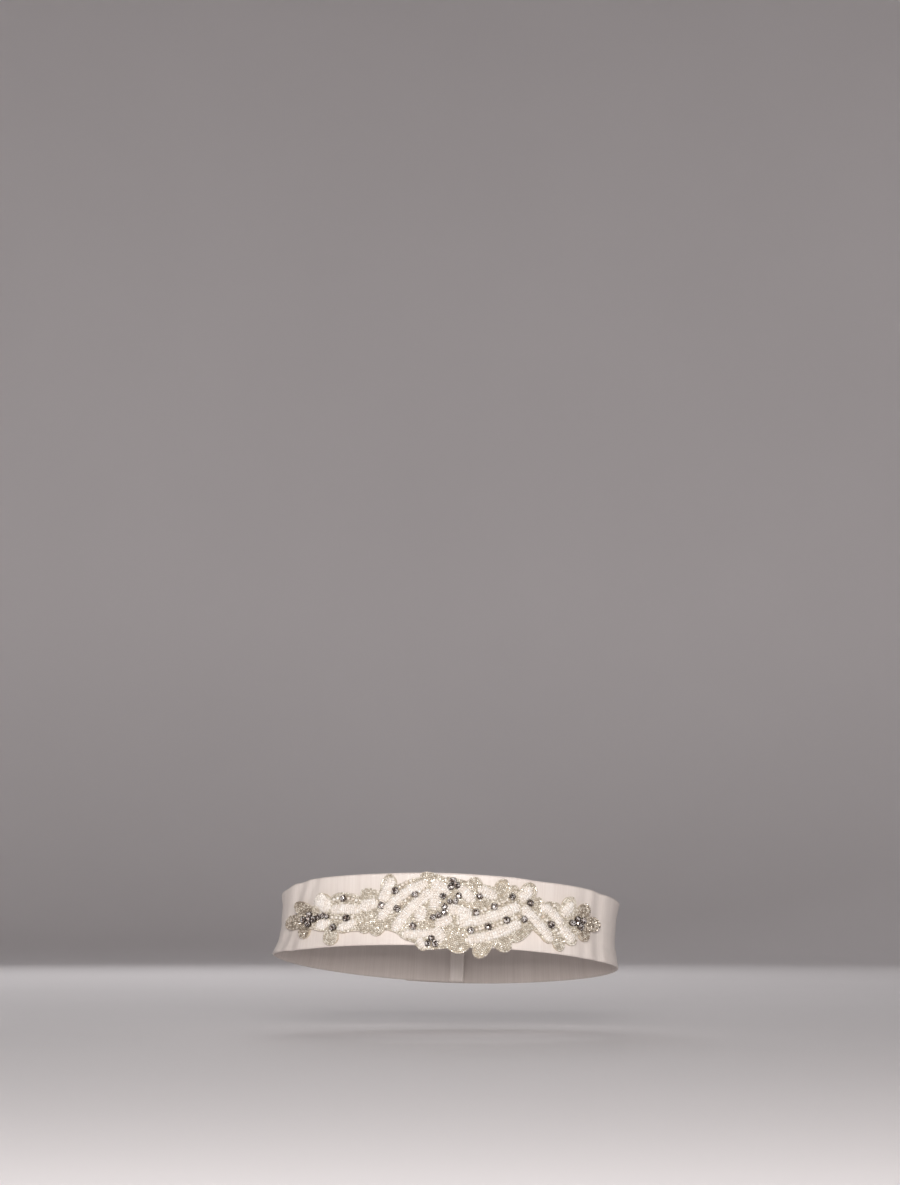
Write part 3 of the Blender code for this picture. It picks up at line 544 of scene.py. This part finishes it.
def joined(name, shape, beads, look, shift=0.05, tip_deg=4.0, size_spread=0.05, facets=False, roll=True):
    """All beads of one kind as one mesh, each a little off its place, as sewing leaves it."""
    points, faces = shape
    table = beads.table()
    count = len(table)
    seat = table[:, :3] + RANDOM.normal(0, shift, (count, 3))
    place, axes = frames_at(seat[:, :2], seat[:, 2], table[:, 3:5], table[:, 5])
    spread = 1 + RANDOM.normal(0, size_spread, count)
    wide, long = table[:, 6] * spread * MM, table[:, 7] * spread * MM
    local = points[None] * np.stack([long, wide, wide], 1)[:, None]
    rolls, tips, yaws = np.radians(RANDOM.normal(0, tip_deg, (3, count)))
    rolls += RANDOM.uniform(0, 2 * math.pi if roll else 0, count)
    for angles, (first, second) in ((rolls, (1, 2)), (tips, (2, 0)), (yaws, (0, 1))):
        sin, cos = np.sin(angles)[:, None], np.cos(angles)[:, None]
        turned_first = local[..., first] * cos - local[..., second] * sin
        local[..., second] = local[..., first] * sin + local[..., second] * cos
        local[..., first] = turned_first
    world = np.einsum("kij,knj->kni", axes, local) + place[:, None]
    offsets = np.arange(count) * len(points)
    all_faces = [tuple(corner + offset for corner in face) for offset in offsets.tolist() for face in faces]
    mesh = bpy.data.meshes.new(name)
    mesh.from_pydata(world.reshape(-1, 3), [], all_faces)
    # With facets, each face takes its own tone, which the stones' material turns into painted reflections and
    # glints
    tones = RANDOM.random(len(all_faces)) if facets else np.repeat(RANDOM.random(count), len(points))
    tone = mesh.attributes.new("tone", "FLOAT", "FACE" if facets else "POINT")
    tone.data.foreach_set("value", tones.astype(np.float32))
    mesh.shade_smooth()
    if facets or name.endswith("seeds"):
        mesh.shade_flat()
    shown(name, mesh, look)


def linked(name, data):
    made = bpy.data.objects.new(name, data)
    bpy.context.scene.collection.objects.link(made)
    return made


def shown(name, mesh, look):
    made = linked(name, mesh)
    mesh.materials.append(look)
    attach(made, "root")
    return made


# Materials


BUMP_DEEP = 0.2 * MM
# The ribbon's denser edge band begins this far from its middle line; it is raised in the bump and darkened
# with painted shade
EDGE_FROM_MIDDLE = 24.7
SATIN = [(0.74, 0.66, 0.62), (0.80, 0.73, 0.68), (0.86, 0.79, 0.75)]
SATIN_BACK = [(0.62, 0.55, 0.51), (0.68, 0.61, 0.57), (0.74, 0.67, 0.63)]
PALE_FLOOR = [(0.72, 0.69, 0.70), (0.76, 0.73, 0.74)]

# Shares of a stone's facets that are painted dark, dim or bright: painted reflections in the smoky glass, the
# brightest ones painted glints
STONE_PAINTED_REFLECTIONS = [(0.0, (0.025, 0.016, 0.012)), (0.34, (0.12, 0.080, 0.062)), (0.52, (0.40, 0.31, 0.26)),
               (0.66, (0.97, 0.92, 0.89))]


def material(name, colour, roughness, metallic=0.0, **sockets):
    made = bpy.data.materials.new(name)
    made.use_nodes = True
    shader = made.node_tree.nodes["Principled BSDF"]
    shader.inputs["Base Color"].default_value = (*colour, 1)
    shader.inputs["Roughness"].default_value = roughness
    shader.inputs["Metallic"].default_value = metallic
    for socket, value in sockets.items():
        shader.inputs[socket.replace("_", " ")].default_value = value
    return made


def node(made, kind, inputs=None, **settings):
    """A node with settings by attribute name, and inputs by socket: a value, or another node's output."""
    new = made.node_tree.nodes.new(kind)
    for key, value in settings.items():
        setattr(new, key, value)
    for socket, value in (inputs or {}).items():
        if isinstance(value, bpy.types.NodeSocket):
            made.node_tree.links.new(value, new.inputs[socket])
        else:
            new.inputs[socket].default_value = value
    return new


def to_shader(made, output, socket):
    made.node_tree.links.new(output, made.node_tree.nodes["Principled BSDF"].inputs[socket])


def ramped(made, value, stops, step=False):
    """The shader's colour by a value, through stops of a place and a colour."""
    ramp = node(made, "ShaderNodeValToRGB", {"Fac": value})
    ramp.color_ramp.interpolation = "CONSTANT" if step else "LINEAR"
    elements = ramp.color_ramp.elements
    while len(elements) < len(stops):
        elements.new(0.5)
    for element, (position, colour) in zip(elements, stops):
        element.position = position
        element.color = (*colour, 1)
    to_shader(made, ramp.outputs["Color"], "Base Color")


def by_tone(made, stops, step=False):
    """Colours from one bead or facet to the next, by its own tone: the beads' own tones, and painted
    reflections on the stones' facets.
    """
    tone = node(made, "ShaderNodeAttribute", attribute_name="tone")
    ramped(made, tone.outputs["Fac"], stops, step=step)
    return made


def noise(made, vector, scale, detail=2.0):
    made_noise = node(made, "ShaderNodeTexNoise", {"Vector": vector, "Scale": scale, "Detail": detail})
    return made_noise.outputs["Fac"]


def stretched_noise(made, uv, across, along, detail=2.0):
    """Noise over the flat ribbon with so many waves to a millimetre along it and up it."""
    mapped = node(made, "ShaderNodeMapping", {"Vector": uv.outputs["UV"], "Scale": (across, along, 1)})
    return noise(made, mapped.outputs["Vector"], 1.0, detail)


def maths(made, operation, first, second=0.0):
    return node(made, "ShaderNodeMath", {0: first, 1: second}, operation=operation).outputs["Value"]


def rough_by(made, value, least, most):
    rough = node(made, "ShaderNodeMapRange", {"Value": value, "To Min": least, "To Max": most})
    to_shader(made, rough.outputs["Result"], "Roughness")


def bump_by(made, height, strength):
    bump = node(made, "ShaderNodeBump", {"Height": height, "Strength": strength, "Distance": BUMP_DEEP})
    to_shader(made, bump.outputs["Normal"], "Normal")


def satin_material(name, colours, roughness, sheen):
    """Ribbon satin: fine cross ribs, uneven in strength, faint broad bands, and a denser edge, raised in the
    bump and with a painted shade line along it.
    """
    made = material(name, colours[1], roughness, Sheen_Weight=sheen, Sheen_Roughness=0.4)
    uv = node(made, "ShaderNodeUVMap", uv_map="flat_mm")
    ribs = stretched_noise(made, uv, 1.1, 0.02)
    threads = stretched_noise(made, uv, 3.6, 0.5)
    bands = stretched_noise(made, uv, 0.12, 0.012, 3.0)
    height = node(made, "ShaderNodeSeparateXYZ", {"Vector": uv.outputs["UV"]}).outputs["Y"]
    from_middle = maths(made, "ABSOLUTE", height)
    edge = node(made, "ShaderNodeMapRange",
                {"Value": from_middle, "From Min": EDGE_FROM_MIDDLE, "From Max": EDGE_FROM_MIDDLE + 0.3})
    edge = edge.outputs["Result"]
    relief = maths(made, "ADD", maths(made, "ADD", ribs, threads), maths(made, "MULTIPLY", edge, 0.8))
    bump_by(made, relief, 0.25)
    shade = maths(made, "ADD", maths(made, "MULTIPLY", ribs, 0.55), maths(made, "MULTIPLY", bands, 0.45))
    # The edge band is also darkened: painted shade along both edges of the ribbon, over the denser selvedge's
    # own raised band
    shade = maths(made, "SUBTRACT", shade, maths(made, "MULTIPLY", edge, 0.12))
    ramped(made, shade, [(0.28, colours[0]), (0.5, colours[1]), (0.72, colours[2])])
    rough_by(made, bands, roughness - 0.05, roughness + 0.08)
    return made


def cloth_material(name, dark, light, cells):
    """Net or felt: cells of this many to a metre, with soft blotches of two colours."""
    made = material(name, light, 0.85, Sheen_Weight=0.2)
    place = node(made, "ShaderNodeTexCoord").outputs["Object"]
    weave = node(made, "ShaderNodeTexVoronoi", {"Vector": place, "Scale": cells})
    bump_by(made, weave.outputs["Distance"], 0.5)
    ramped(made, noise(made, place, 120.0), [(0.3, dark), (0.7, light)])
    return made


def metal_material(name, dark, light, roughness):
    """Metal with faint rubbing marks."""
    made = material(name, light, roughness, 1.0)
    place = node(made, "ShaderNodeTexCoord").outputs["Object"]
    marks = noise(made, place, 900.0, 4.0)
    ramped(made, marks, [(0.3, dark), (0.7, light)])
    rough_by(made, marks, roughness - 0.08, roughness + 0.12)
    return made


def glass(name, dark, middle, light, metallic=0.0, roughness=0.25, coat=0.4):
    """Beads of one glass, each in its own tone of it."""
    made = material(name, middle, roughness, metallic, Coat_Weight=coat, Coat_Roughness=0.08)
    return by_tone(made, [(0.0, dark), (0.5, middle), (1.0, light)])


def materials():
    stone = material("smoky_stone", (0.17, 0.15, 0.15), 0.06, 0.5, Coat_Weight=1.0, Coat_Roughness=0.03)
    # The stones' facet colours are painted reflections: each facet's random tone paints it dark, dim or as a
    # bright painted glint
    by_tone(stone, STONE_PAINTED_REFLECTIONS, step=True)
    floor = material("pale_floor", PALE_FLOOR[0], 0.8)
    place = node(floor, "ShaderNodeTexCoord").outputs["Object"]
    ramped(floor, noise(floor, place, 1.5, 4.0), [(0.2, PALE_FLOOR[0]), (0.8, PALE_FLOOR[1])])
    return {
        "satin": satin_material("satin", SATIN, 0.42, 0.03),
        "back": satin_material("satin_back", SATIN_BACK, 0.6, 0.03),
        "net": cloth_material("net", (0.50, 0.42, 0.32), (0.64, 0.56, 0.45), 1600.0),
        "padding": cloth_material("padding", (0.80, 0.73, 0.66), (0.88, 0.82, 0.75), 900.0),
        "thread": cloth_material("thread", (0.74, 0.70, 0.64), (0.84, 0.80, 0.75), 4000.0),
        "seed": glass("pale_seed_glass", (0.50, 0.44, 0.36), (0.72, 0.65, 0.55), (0.94, 0.90, 0.82), 0.15),
        "flower_seed": glass("dark_glass", (0.26, 0.21, 0.16), (0.48, 0.41, 0.33), (0.84, 0.77, 0.68), 0.3),
        "bar": glass("ivory_glass", (0.79, 0.72, 0.65), (0.85, 0.79, 0.73), (0.90, 0.86, 0.82), 0, 0.35, 0.2),
        "pearl": glass("pearl", (0.66, 0.56, 0.46), (0.80, 0.73, 0.65), (0.88, 0.84, 0.78), 0.0, 0.24, 0.5),
        "stone": stone,
        "setting": metal_material("dark_setting", (0.14, 0.12, 0.11), (0.34, 0.30, 0.28), 0.32),
        "steel": metal_material("hook_steel", (0.46, 0.46, 0.48), (0.66, 0.66, 0.68), 0.3),
        "floor": floor,
    }


# The ribbon


FINE_COLUMN = 1.4 * MM
FINE_ROWS = 36
HEM_STEPS = 8
HEM_FLAT_STEPS = 6


def overlap_lift(along):
    """How far the over end stands out from the waist to pass over the fastening."""
    from_back = HALF_GIRTH - along
    return (RIBBON_THICK + FASTENING_SPACE) * eased((LIFT_START - from_back) / (LIFT_START - LIFT_FULL))


def ribbon_columns():
    """Along and lift of each column of the ribbon's outer face, with both ends turned under as hems."""
    start, end = -HALF_GIRTH - UNDER_END, HALF_GIRTH + OVER_END
    along = np.linspace(start, end, round((end - start) / FINE_COLUMN) + 1)
    lift = overlap_lift(along)
    turns = np.linspace(0, math.pi, HEM_STEPS + 1)[1:]
    back = np.linspace(0, HEM_DEPTH, HEM_FLAT_STEPS + 1)[1:]

    def hem(edge, outwards, edge_lift):
        turned_under = np.concatenate([edge + outwards * HEM_TURN * np.sin(turns), edge - outwards * back])
        down = np.concatenate([HEM_TURN * (1 - np.cos(turns)), np.full(len(back), 2 * HEM_TURN)])
        return turned_under, edge_lift - down

    under_along, under_lift = hem(start, -1, lift[0])
    over_along, over_lift = hem(end, 1, lift[-1])
    return (np.concatenate([under_along[::-1], along, over_along]),
            np.concatenate([under_lift[::-1], lift, over_lift]))


def ribbon_dip(along, up):
    return crease_depth(along, up, CREASES) + crease_depth(along, up, FINE_CREASES)


def build_ribbon(satin, back):
    """The ribbon as a fine shell on its solid's form."""
    along, lift = ribbon_columns()
    up = np.linspace(-0.5, 0.5, FINE_ROWS + 1) * RIBBON_WIDTH
    along_grid, up_grid = np.meshgrid(along, up, indexing="ij")
    points = on_waist(along_grid, up_grid, lift[:, None] - ribbon_dip(along_grid, up_grid))
    rows = len(up)
    corner = (np.arange(len(along) - 1)[:, None] * rows + np.arange(rows - 1)).ravel()
    faces = np.stack([corner, corner + rows, corner + rows + 1, corner + 1], 1)
    mesh = bpy.data.meshes.new("ribbon_satin")
    mesh.from_pydata(points.reshape(-1, 3), [], faces.tolist())
    strip = np.concatenate([[0], np.cumsum(np.hypot(np.diff(along), np.diff(lift)))]) / MM
    flat = np.stack([np.repeat(strip, rows), np.tile(up / MM, len(along))], 1)
    layer = mesh.uv_layers.new(name="flat_mm")
    layer.data.foreach_set("uv", flat[faces.ravel()].astype(np.float32).ravel())
    mesh.shade_smooth()
    made = shown("ribbon_satin", mesh, satin)
    mesh.materials.append(back)
    wall = made.modifiers.new("wall", "SOLIDIFY")
    wall.thickness = RIBBON_THICK
    wall.offset = -1
    wall.material_offset = 1
    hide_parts("ribbon")


# Hand stitches


THREAD_WIDE = 0.45
HEM_STITCH = 2.4
HEM_STITCH_STEP = 3.6
HEM_STITCH_REACH = 23.4
HEM_STITCH_INSET = 1.6 * MM
TACK = 2.8
TACK_STEP = 11.0


def build_stitches(motifs, thread):
    """Stitches along both hems, and tacks inside the ribbon behind the applique."""
    stitches = Beads()
    for up in np.arange(-HEM_STITCH_REACH, HEM_STITCH_REACH + 0.1, HEM_STITCH_STEP):
        for end, inwards in ((HALF_GIRTH + OVER_END, -1), (-HALF_GIRTH - UNDER_END, 1)):
            along = end + inwards * (HEM_DEPTH - HEM_STITCH_INSET)
            lift = float(overlap_lift(along) - ribbon_dip(along, up * MM)) / MM
            stitches.add((along / MM, up), lift + 0.05, (0.0, 1.0), THREAD_WIDE, HEM_STITCH)
    inset = np.array([flat_from_front(*point, GROUND_HIGH_MM) for point in GROUND]) * 0.96
    place, run = spaced(inset, TACK_STEP, closed=True)
    inside = np.abs(place[:, 1]) < RIBBON_WIDTH / MM / 2 - 2
    place, run = place[inside], run[inside]
    rise = RIBBON_THICK / MM + 0.02
    dip = ribbon_dip(place[:, 0] * MM, place[:, 1] * MM) / MM
    stitches.add(place, -rise - dip, run, THREAD_WIDE, TACK)
    joined("hand_stitches", bar_bead(), stitches, thread, tip_deg=5.0, size_spread=0.08)


# The applique


NET_TOP = GAP / MM + NET_THICK_MM
PADDING_INSET = 0.35


def lift_of(points):
    """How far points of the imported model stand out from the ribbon's face, in millimetres."""
    level = points @ np.array(TURN)
    angle = np.arctan2(level[:, 0] / HALF_WIDTH, -level[:, 1] / HALF_DEPTH)
    for _ in range(SOLVER_STEPS):
        ring, out = waist_ring(angle)
        gap = level[:, :2] - ring
        tangent = np.stack([HALF_WIDTH * np.cos(angle), HALF_DEPTH * np.sin(angle)], 1)
        angle = angle + (gap * tangent).sum(1) / (tangent * tangent).sum(1)
    above = level[:, 2] > 0
    up = level[:, 2] / by_half(angle, above, "share")
    flare = by_half(angle, above, "flare_mm")
    along = np.interp(angle, ANGLES, ALONGS)
    return along / MM, up / MM, (gap * out).sum(1) / MM - flare * (2 * up / RIBBON_WIDTH) ** 2


def build_net(look):
    """The net: the solid's outline and plain inner side, with its outer side at the height of the cloth."""
    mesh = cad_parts["applique"].data.copy()
    mesh.name = "net"
    points = np.empty(len(mesh.vertices) * 3, np.float32)
    mesh.vertices.foreach_get("co", points)
    along, up, lift = lift_of(points.reshape(-1, 3).astype(float))
    lift = np.minimum(lift, NET_TOP)
    mesh.vertices.foreach_set("co", on_waist(along * MM, up * MM, lift * MM).astype(np.float32).ravel())
    mesh.materials.clear()
    net = shown("net", mesh, look)
    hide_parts("applique")


class Motifs:
    """Outlines of all motifs on the flat ribbon, from the lowest to the highest."""

    def __init__(self):
        self.leaves = []
        for leaf in LEAVES:
            base = flat_from_front(*leaf.base, LEAF_HIGH_MM)
            tip = flat_from_front(*leaf.tip, LEAF_HIGH_MM)
            self.leaves.append((base, tip, leaf.width, leaf.roundness))
        self.leaf_outlines = [leaf_outline(*leaf, steps=14) for leaf in self.leaves]
        self.pads = []
        for pad in PADS:
            corners = [flat_from_front(*point, PAD_HIGH_MM) for point in pad.path]
            self.pads.append((smooth_path(corners, 8), pad.width))
        self.pad_outlines = [pad_outline(path, width, 8) for path, width in self.pads]
        self.stones = [(flat_from_front(s.across, s.up, STONE_HIGH_MM), s.wide) for s in STONES]
        self.pearls = [flat_from_front(*place, PEARL_WIDE_MM) for place in PEARLS]
        ground = np.array([flat_from_front(*point, GROUND_HIGH_MM) for point in GROUND])
        self.ground = smooth_path(np.vstack([ground, ground[:1]]), 4)[:-1]

    def clear_of(self, points, leaves_from=0, skip_pad=None, margin=0.3):
        """Which points lie under no leaf from this number on, no other bar, no stone and no pearl."""
        free = np.ones(len(points), bool)
        for outline in self.leaf_outlines[leaves_from:]:
            free &= depth_inside(points, outline) <= margin
        for number, outline in enumerate(self.pad_outlines):
            if number != skip_pad:
                free &= depth_inside(points, outline) <= margin
        for centre, wide in self.stones:
            free &= np.hypot(*(points - centre).T) > wide / 2 + STONE_ROOM
        for centre in self.pearls:
            free &= np.hypot(*(points - centre).T) > PEARL_WIDE_MM / 2 + PEARL_ROOM
        return free


def leaf_rows(leaf, outline, fill):
    """Paths of beads that fill a leaf: its edge row, and rings, straight rows or arcs inside."""
    base, tip, width, _ = leaf
    inset = SEED_WIDE / 2
    rows = [spaced(leaf_outline(*leaf, inset, steps=24), SEED_STEP, closed=True)]
    length = np.linalg.norm(tip - base)
    run = (tip - base) / length
    left = np.array([-run[1], run[0]])
    if fill == "rings":
        inset += ROW_STEP
        while width / 2 - inset > 0.5 * SEED_WIDE:
            rows.append(spaced(leaf_outline(*leaf, inset, steps=24), SEED_STEP, closed=True))
            inset += ROW_STEP
        if width / 2 - (inset - ROW_STEP) > 0.85 * SEED_WIDE:
            rows.append(spaced(np.array([base + run * inset, tip - run * inset]), SEED_STEP))
        return rows
    inner = []
    if fill == "lengthwise":
        for aside in np.arange(-5, 6) * ROW_STEP:
            inner.append(np.array([base + left * aside, tip + left * aside]))
    if fill == "arcs":
        turns = np.linspace(-ARC_TURN, ARC_TURN, 60)[:, None]
        round_foot = run * np.cos(turns) + left * np.sin(turns)
        for radius in np.arange(ARC_BEHIND, length + ARC_BEHIND, ROW_STEP):
            inner.append(base - run * ARC_BEHIND + (radius + ARC_BEHIND) * round_foot)
    for path in inner:
        place, ahead = spaced(path, SEED_STEP)
        inside = depth_inside(place, outline) > SEED_WIDE * 1.35
        rows.append((place[inside], ahead[inside]))
    return rows


def bead_leaves(motifs, leaf_seeds, flower_seeds):
    for number, (leaf, outline) in enumerate(zip(motifs.leaves, motifs.leaf_outlines)):
        seeds = flower_seeds if number in FLOWER_LEAVES else leaf_seeds
        for place, run in leaf_rows(leaf, outline, LEAF_FILLS.get(number, "rings")):
            free = motifs.clear_of(place, leaves_from=number + 1)
            seeds.add(place[free], NET_TOP + SEED_WIDE / 2, run[free], SEED_WIDE, SEED_WIDE)


def bead_ground(motifs, seeds):
    """Two rows along the net's edge, and wavy rows over the net between the motifs."""
    outline = motifs.ground
    run, left = sideways(np.vstack([outline[-1:], outline, outline[:1]]))
    run, left = run[1:-1], left[1:-1]
    for inset in EDGE_ROWS:
        place, ahead = spaced(outline - left * inset, SEED_STEP, closed=True)
        free = motifs.clear_of(place, margin=0.35)
        seeds.add(place[free], NET_TOP + 0.6, ahead[free], SEED_WIDE, SEED_WIDE)
    low, high = outline.min(0), outline.max(0)
    for number, up in enumerate(np.arange(low[1], high[1], GROUND_BEAD * 0.92)):
        across = np.arange(low[0] + (number % 2) * GROUND_BEAD / 2, high[0], GROUND_BEAD * 1.02)
        wave = WAVE_HIGH * np.sin(across / WAVE_LONG + number * WAVE_SHIFT)
        place = np.stack([across, up + wave], 1)
        place = place[depth_inside(place, outline) > 2.5]
        place = place[motifs.clear_of(place, margin=0.4)]
        seeds.add(place, NET_TOP + 0.5, (1.0, 0.0), GROUND_BEAD, GROUND_BEAD)


def bead_bar_edges(motifs, seeds):
    """A row of beads round each padded bar."""
    for number, (path, width) in enumerate(motifs.pads):
        place, run = spaced(pad_outline(path, width + SEED_WIDE * 0.85, 10), SEED_STEP, closed=True)
        free = motifs.clear_of(place, leaves_from=len(motifs.leaves), skip_pad=number, margin=0.1)
        seeds.add(place[free], NET_TOP + 0.95, run[free], SEED_WIDE, SEED_WIDE)


def bead_bars(motifs, bar_beads):
    """Each padded bar covered with rows of longer ivory beads across it."""
    turns = np.linspace(-BAR_TURN, BAR_TURN, 57)
    for number, (path, width) in enumerate(motifs.pads):
        half = width / 2
        step = BAR_STEPS.get(number, BAR_STEP)
        bead_wide = step * BAR_BEAD_SWELL
        extra = half * 0.86
        run, _ = sideways(path)
        whole = np.vstack([path[0] - run[0] * extra, path, path[-1] + run[-1] * extra])
        place, run = spaced(whole, step)
        total = lengths_to(place)
        for centre, ahead, at in zip(place, run, total):
            past = max(extra - at, at - (total[-1] - extra), 0) / half
            cut = math.sqrt(max(1 - past * past, 0.12))
            reach, rise = half * cut, (PAD_HIGH_MM - bead_wide / 2) * (0.45 + 0.55 * cut)
            arch = np.stack([reach * np.sin(turns), BAR_FOOT + (rise - BAR_FOOT) * np.cos(turns)], 1)
            lengths = lengths_to(arch)
            count = max(1, round(lengths[-1] / BAR_BEAD_LONG))
            cuts = np.arange(count + 1) / count
            cuts[1:-1] += RANDOM.uniform(-0.1, 0.1, count - 1)
            ends = at_lengths(arch, lengths, cuts * lengths[-1])
            middle, rises = (ends[1:] + ends[:-1]) / 2, ends[1:] - ends[:-1]
            long = np.linalg.norm(rises, axis=1)
            rises /= long[:, None]
            left = np.array([-ahead[1], ahead[0]])
            flat = centre + left * middle[:, :1]
            lift = NET_TOP + middle[:, 1] + 0.1
            bar_beads.add(flat, lift, left * rises[:, :1], bead_wide, long * 1.04, rises[:, 1])


def build_padding(motifs, look):
    """The felt bars under the ivory beads."""
    points, faces = [], []
    turns = np.linspace(-math.pi / 2, math.pi / 2, 9)
    for path, width in motifs.pads:
        half = width / 2 - PADDING_INSET
        high = PAD_HIGH_MM - BAR_STEP * 0.55
        run, left = sideways(path)
        ends = np.sin(np.linspace(0, math.pi / 2, 5)[1:])
        stations = [(path[0] - run[0] * half * s, left[0], math.sqrt(1 - s * s)) for s in ends[::-1]]
        stations += [(p, l, 1.0) for p, l in zip(path, left)]
        stations += [(path[-1] + run[-1] * half * s, left[-1], math.sqrt(1 - s * s)) for s in ends]
        start = len(points)
        for centre, side, share in stations:
            share = max(share, 0.05)
            for turn in turns:
                flat = centre + side * half * share * math.sin(turn)
                points.append((*flat, NET_TOP - 0.2 + high * share * math.cos(turn)))
        count = len(turns)
        for ring in range(len(stations) - 1):
            for k in range(count):
                a, b = start + ring * count + k, start + ring * count + (k + 1) % count
                faces.append((a, b, b + count, a + count))
        faces.append(tuple(range(start + count - 1, start - 1, -1)))
        faces.append(tuple(range(len(points) - count, len(points))))
    points = np.array(points) * MM
    mesh = bpy.data.meshes.new("padding")
    mesh.from_pydata(on_waist(points[:, 0], points[:, 1], points[:, 2]), [], faces)
    mesh.shade_smooth()
    made = shown("padding", mesh, look)


def build_beads(motifs, look):
    leaf_seeds, flower_seeds, ground_seeds, bar_beads, pearls, stones, settings = (Beads() for _ in range(7))
    bead_leaves(motifs, leaf_seeds, flower_seeds)
    bead_ground(motifs, ground_seeds)
    bead_bar_edges(motifs, ground_seeds)
    bead_bars(motifs, bar_beads)
    for place in motifs.pearls:
        pearls.add(place, NET_TOP + PEARL_WIDE_MM / 2, (1.0, 0.0), PEARL_WIDE_MM, PEARL_WIDE_MM)
    for stone, (place, wide) in zip(STONES, motifs.stones):
        is_long = (stone.across, stone.up) == LONG_STONE
        turn = 0.0 if is_long else RANDOM.uniform(0, 2 * math.pi)
        long, wide = LONG_STONE_SIZE if is_long else (wide, wide)
        run = (math.cos(turn), math.sin(turn))
        settings.add(place, NET_TOP + 2.1, run, wide, long)
        stones.add(place, NET_TOP + 2.3, run, wide, long)
    joined("leaf_seeds", seed_bead(), leaf_seeds, look["seed"])
    joined("flower_seeds", seed_bead(), flower_seeds, look["flower_seed"])
    joined("ground_seeds", seed_bead(), ground_seeds, look["seed"], shift=0.08, tip_deg=12.0)
    joined("bar_beads", bar_bead(), bar_beads, look["bar"], shift=0.1, tip_deg=5.0, size_spread=0.06)
    joined("pearls", pearl(), pearls, look["pearl"], size_spread=0.06)
    joined("stones", stone_shape(), stones, look["stone"], facets=True, roll=False, tip_deg=3.5,
           size_spread=0.02)
    joined("stone_settings", setting_shape(), settings, look["setting"], shift=0.0, tip_deg=0.0, roll=False,
           size_spread=0.0)


# The studio


FLOOR_BELOW = 0.075
STUDIO_RADIUS = 3.4
SWEEP_RADIUS = 0.7
WALL_HEIGHT = 3.0


def build_floor(look):
    """A round floor that sweeps up into a wall all the way round."""
    profile = [(0.0, 0.0), (STUDIO_RADIUS - SWEEP_RADIUS, 0.0)]
    for turn in np.linspace(0, math.pi / 2, 13)[1:]:
        inwards = SWEEP_RADIUS * (1 - math.sin(turn))
        profile.append((STUDIO_RADIUS - inwards, SWEEP_RADIUS * (1 - math.cos(turn))))
    profile.append((STUDIO_RADIUS, WALL_HEIGHT))
    sides = 96
    points = [(0.0, 0.0, -FLOOR_BELOW)]
    for radius, height in profile[1:]:
        for k in range(sides):
            turn = 2 * math.pi * k / sides
            points.append((radius * math.cos(turn), radius * math.sin(turn), height - FLOOR_BELOW))
    faces = [(0, 1 + k, 1 + (k + 1) % sides) for k in range(sides)]
    for ring in range(len(profile) - 2):
        for k in range(sides):
            a, b = 1 + ring * sides + k, 1 + ring * sides + (k + 1) % sides
            faces.append((a, a + sides, b + sides, b))
    mesh = bpy.data.meshes.new("studio_floor")
    mesh.from_pydata(points, [], faces)
    mesh.shade_smooth()
    mesh.materials.append(look)
    linked("studio_floor", mesh)


def area_light(name, place, size, power, colour=(1, 1, 1)):
    light = bpy.data.lights.new(name, "AREA")
    light.size = size
    light.energy = power
    light.color = colour
    made = linked(name, light)
    made.location = place
    made.rotation_euler = (-Vector(place)).to_track_quat("-Z", "Y").to_euler()
    made.visible_camera = False


def build_lights():
    """Soft light from the front, less from above and behind, and small lights that make the beads sparkle."""
    area_light("key", (-0.05, -2.5, 0.42), 0.6, 46, (1.0, 0.965, 0.935))
    area_light("top", (0.0, 0.6, 2.6), 2.4, 10)
    area_light("back", (-0.4, 2.0, 1.3), 1.5, 13)
    area_light("sparkle_left", (-0.6, -2.1, 0.6), 0.06, 2)
    area_light("sparkle_right", (0.7, -2.0, 0.3), 0.06, 2)
    world = bpy.data.worlds.new("studio_world")
    world.use_nodes = True
    background = world.node_tree.nodes["Background"]
    background.inputs["Color"].default_value = (0.87, 0.86, 0.86, 1)
    background.inputs["Strength"].default_value = 0.07
    bpy.context.scene.world = world
    bpy.context.scene.view_settings.view_transform = "Standard"


def build_camera():
    """Level with the front of the sash, and turned up so that the sash falls where the photograph has it."""
    camera = bpy.data.cameras.new("camera")
    made = linked("camera", camera)
    nearest = on_waist(0.0, 0.0, 0.0)
    down = SASH_AT[1] - PHOTO_SIZE[1] / 2
    aside = PHOTO_SIZE[0] / 2 - SASH_AT[0]
    focal = VIEW_DISTANCE / (PIXEL_MM * MM)
    pitch = math.atan(down / focal)
    made.location = (nearest[0] + aside * PIXEL_MM * MM, nearest[1] - VIEW_DISTANCE, nearest[2])
    made.rotation_euler = (math.pi / 2 + pitch, 0, 0)
    camera.sensor_width = SENSOR
    camera.lens = focal * math.cos(pitch) / PHOTO_SIZE[1] * SENSOR
    camera.clip_start, camera.clip_end = 0.05, 50
    bpy.context.scene.camera = made


def main():
    look = materials()
    motifs = Motifs()
    build_ribbon(look["satin"], look["back"])
    build_net(look["net"])
    build_padding(motifs, look["padding"])
    build_beads(motifs, look)
    build_stitches(motifs, look["thread"])
    for name in ("hook_1", "hook_2", "bar_1", "bar_2"):
        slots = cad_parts[name].data.materials
        slots.clear()
        slots.append(look["steel"])
    build_floor(look["floor"])
    build_lights()
    build_camera()


main()
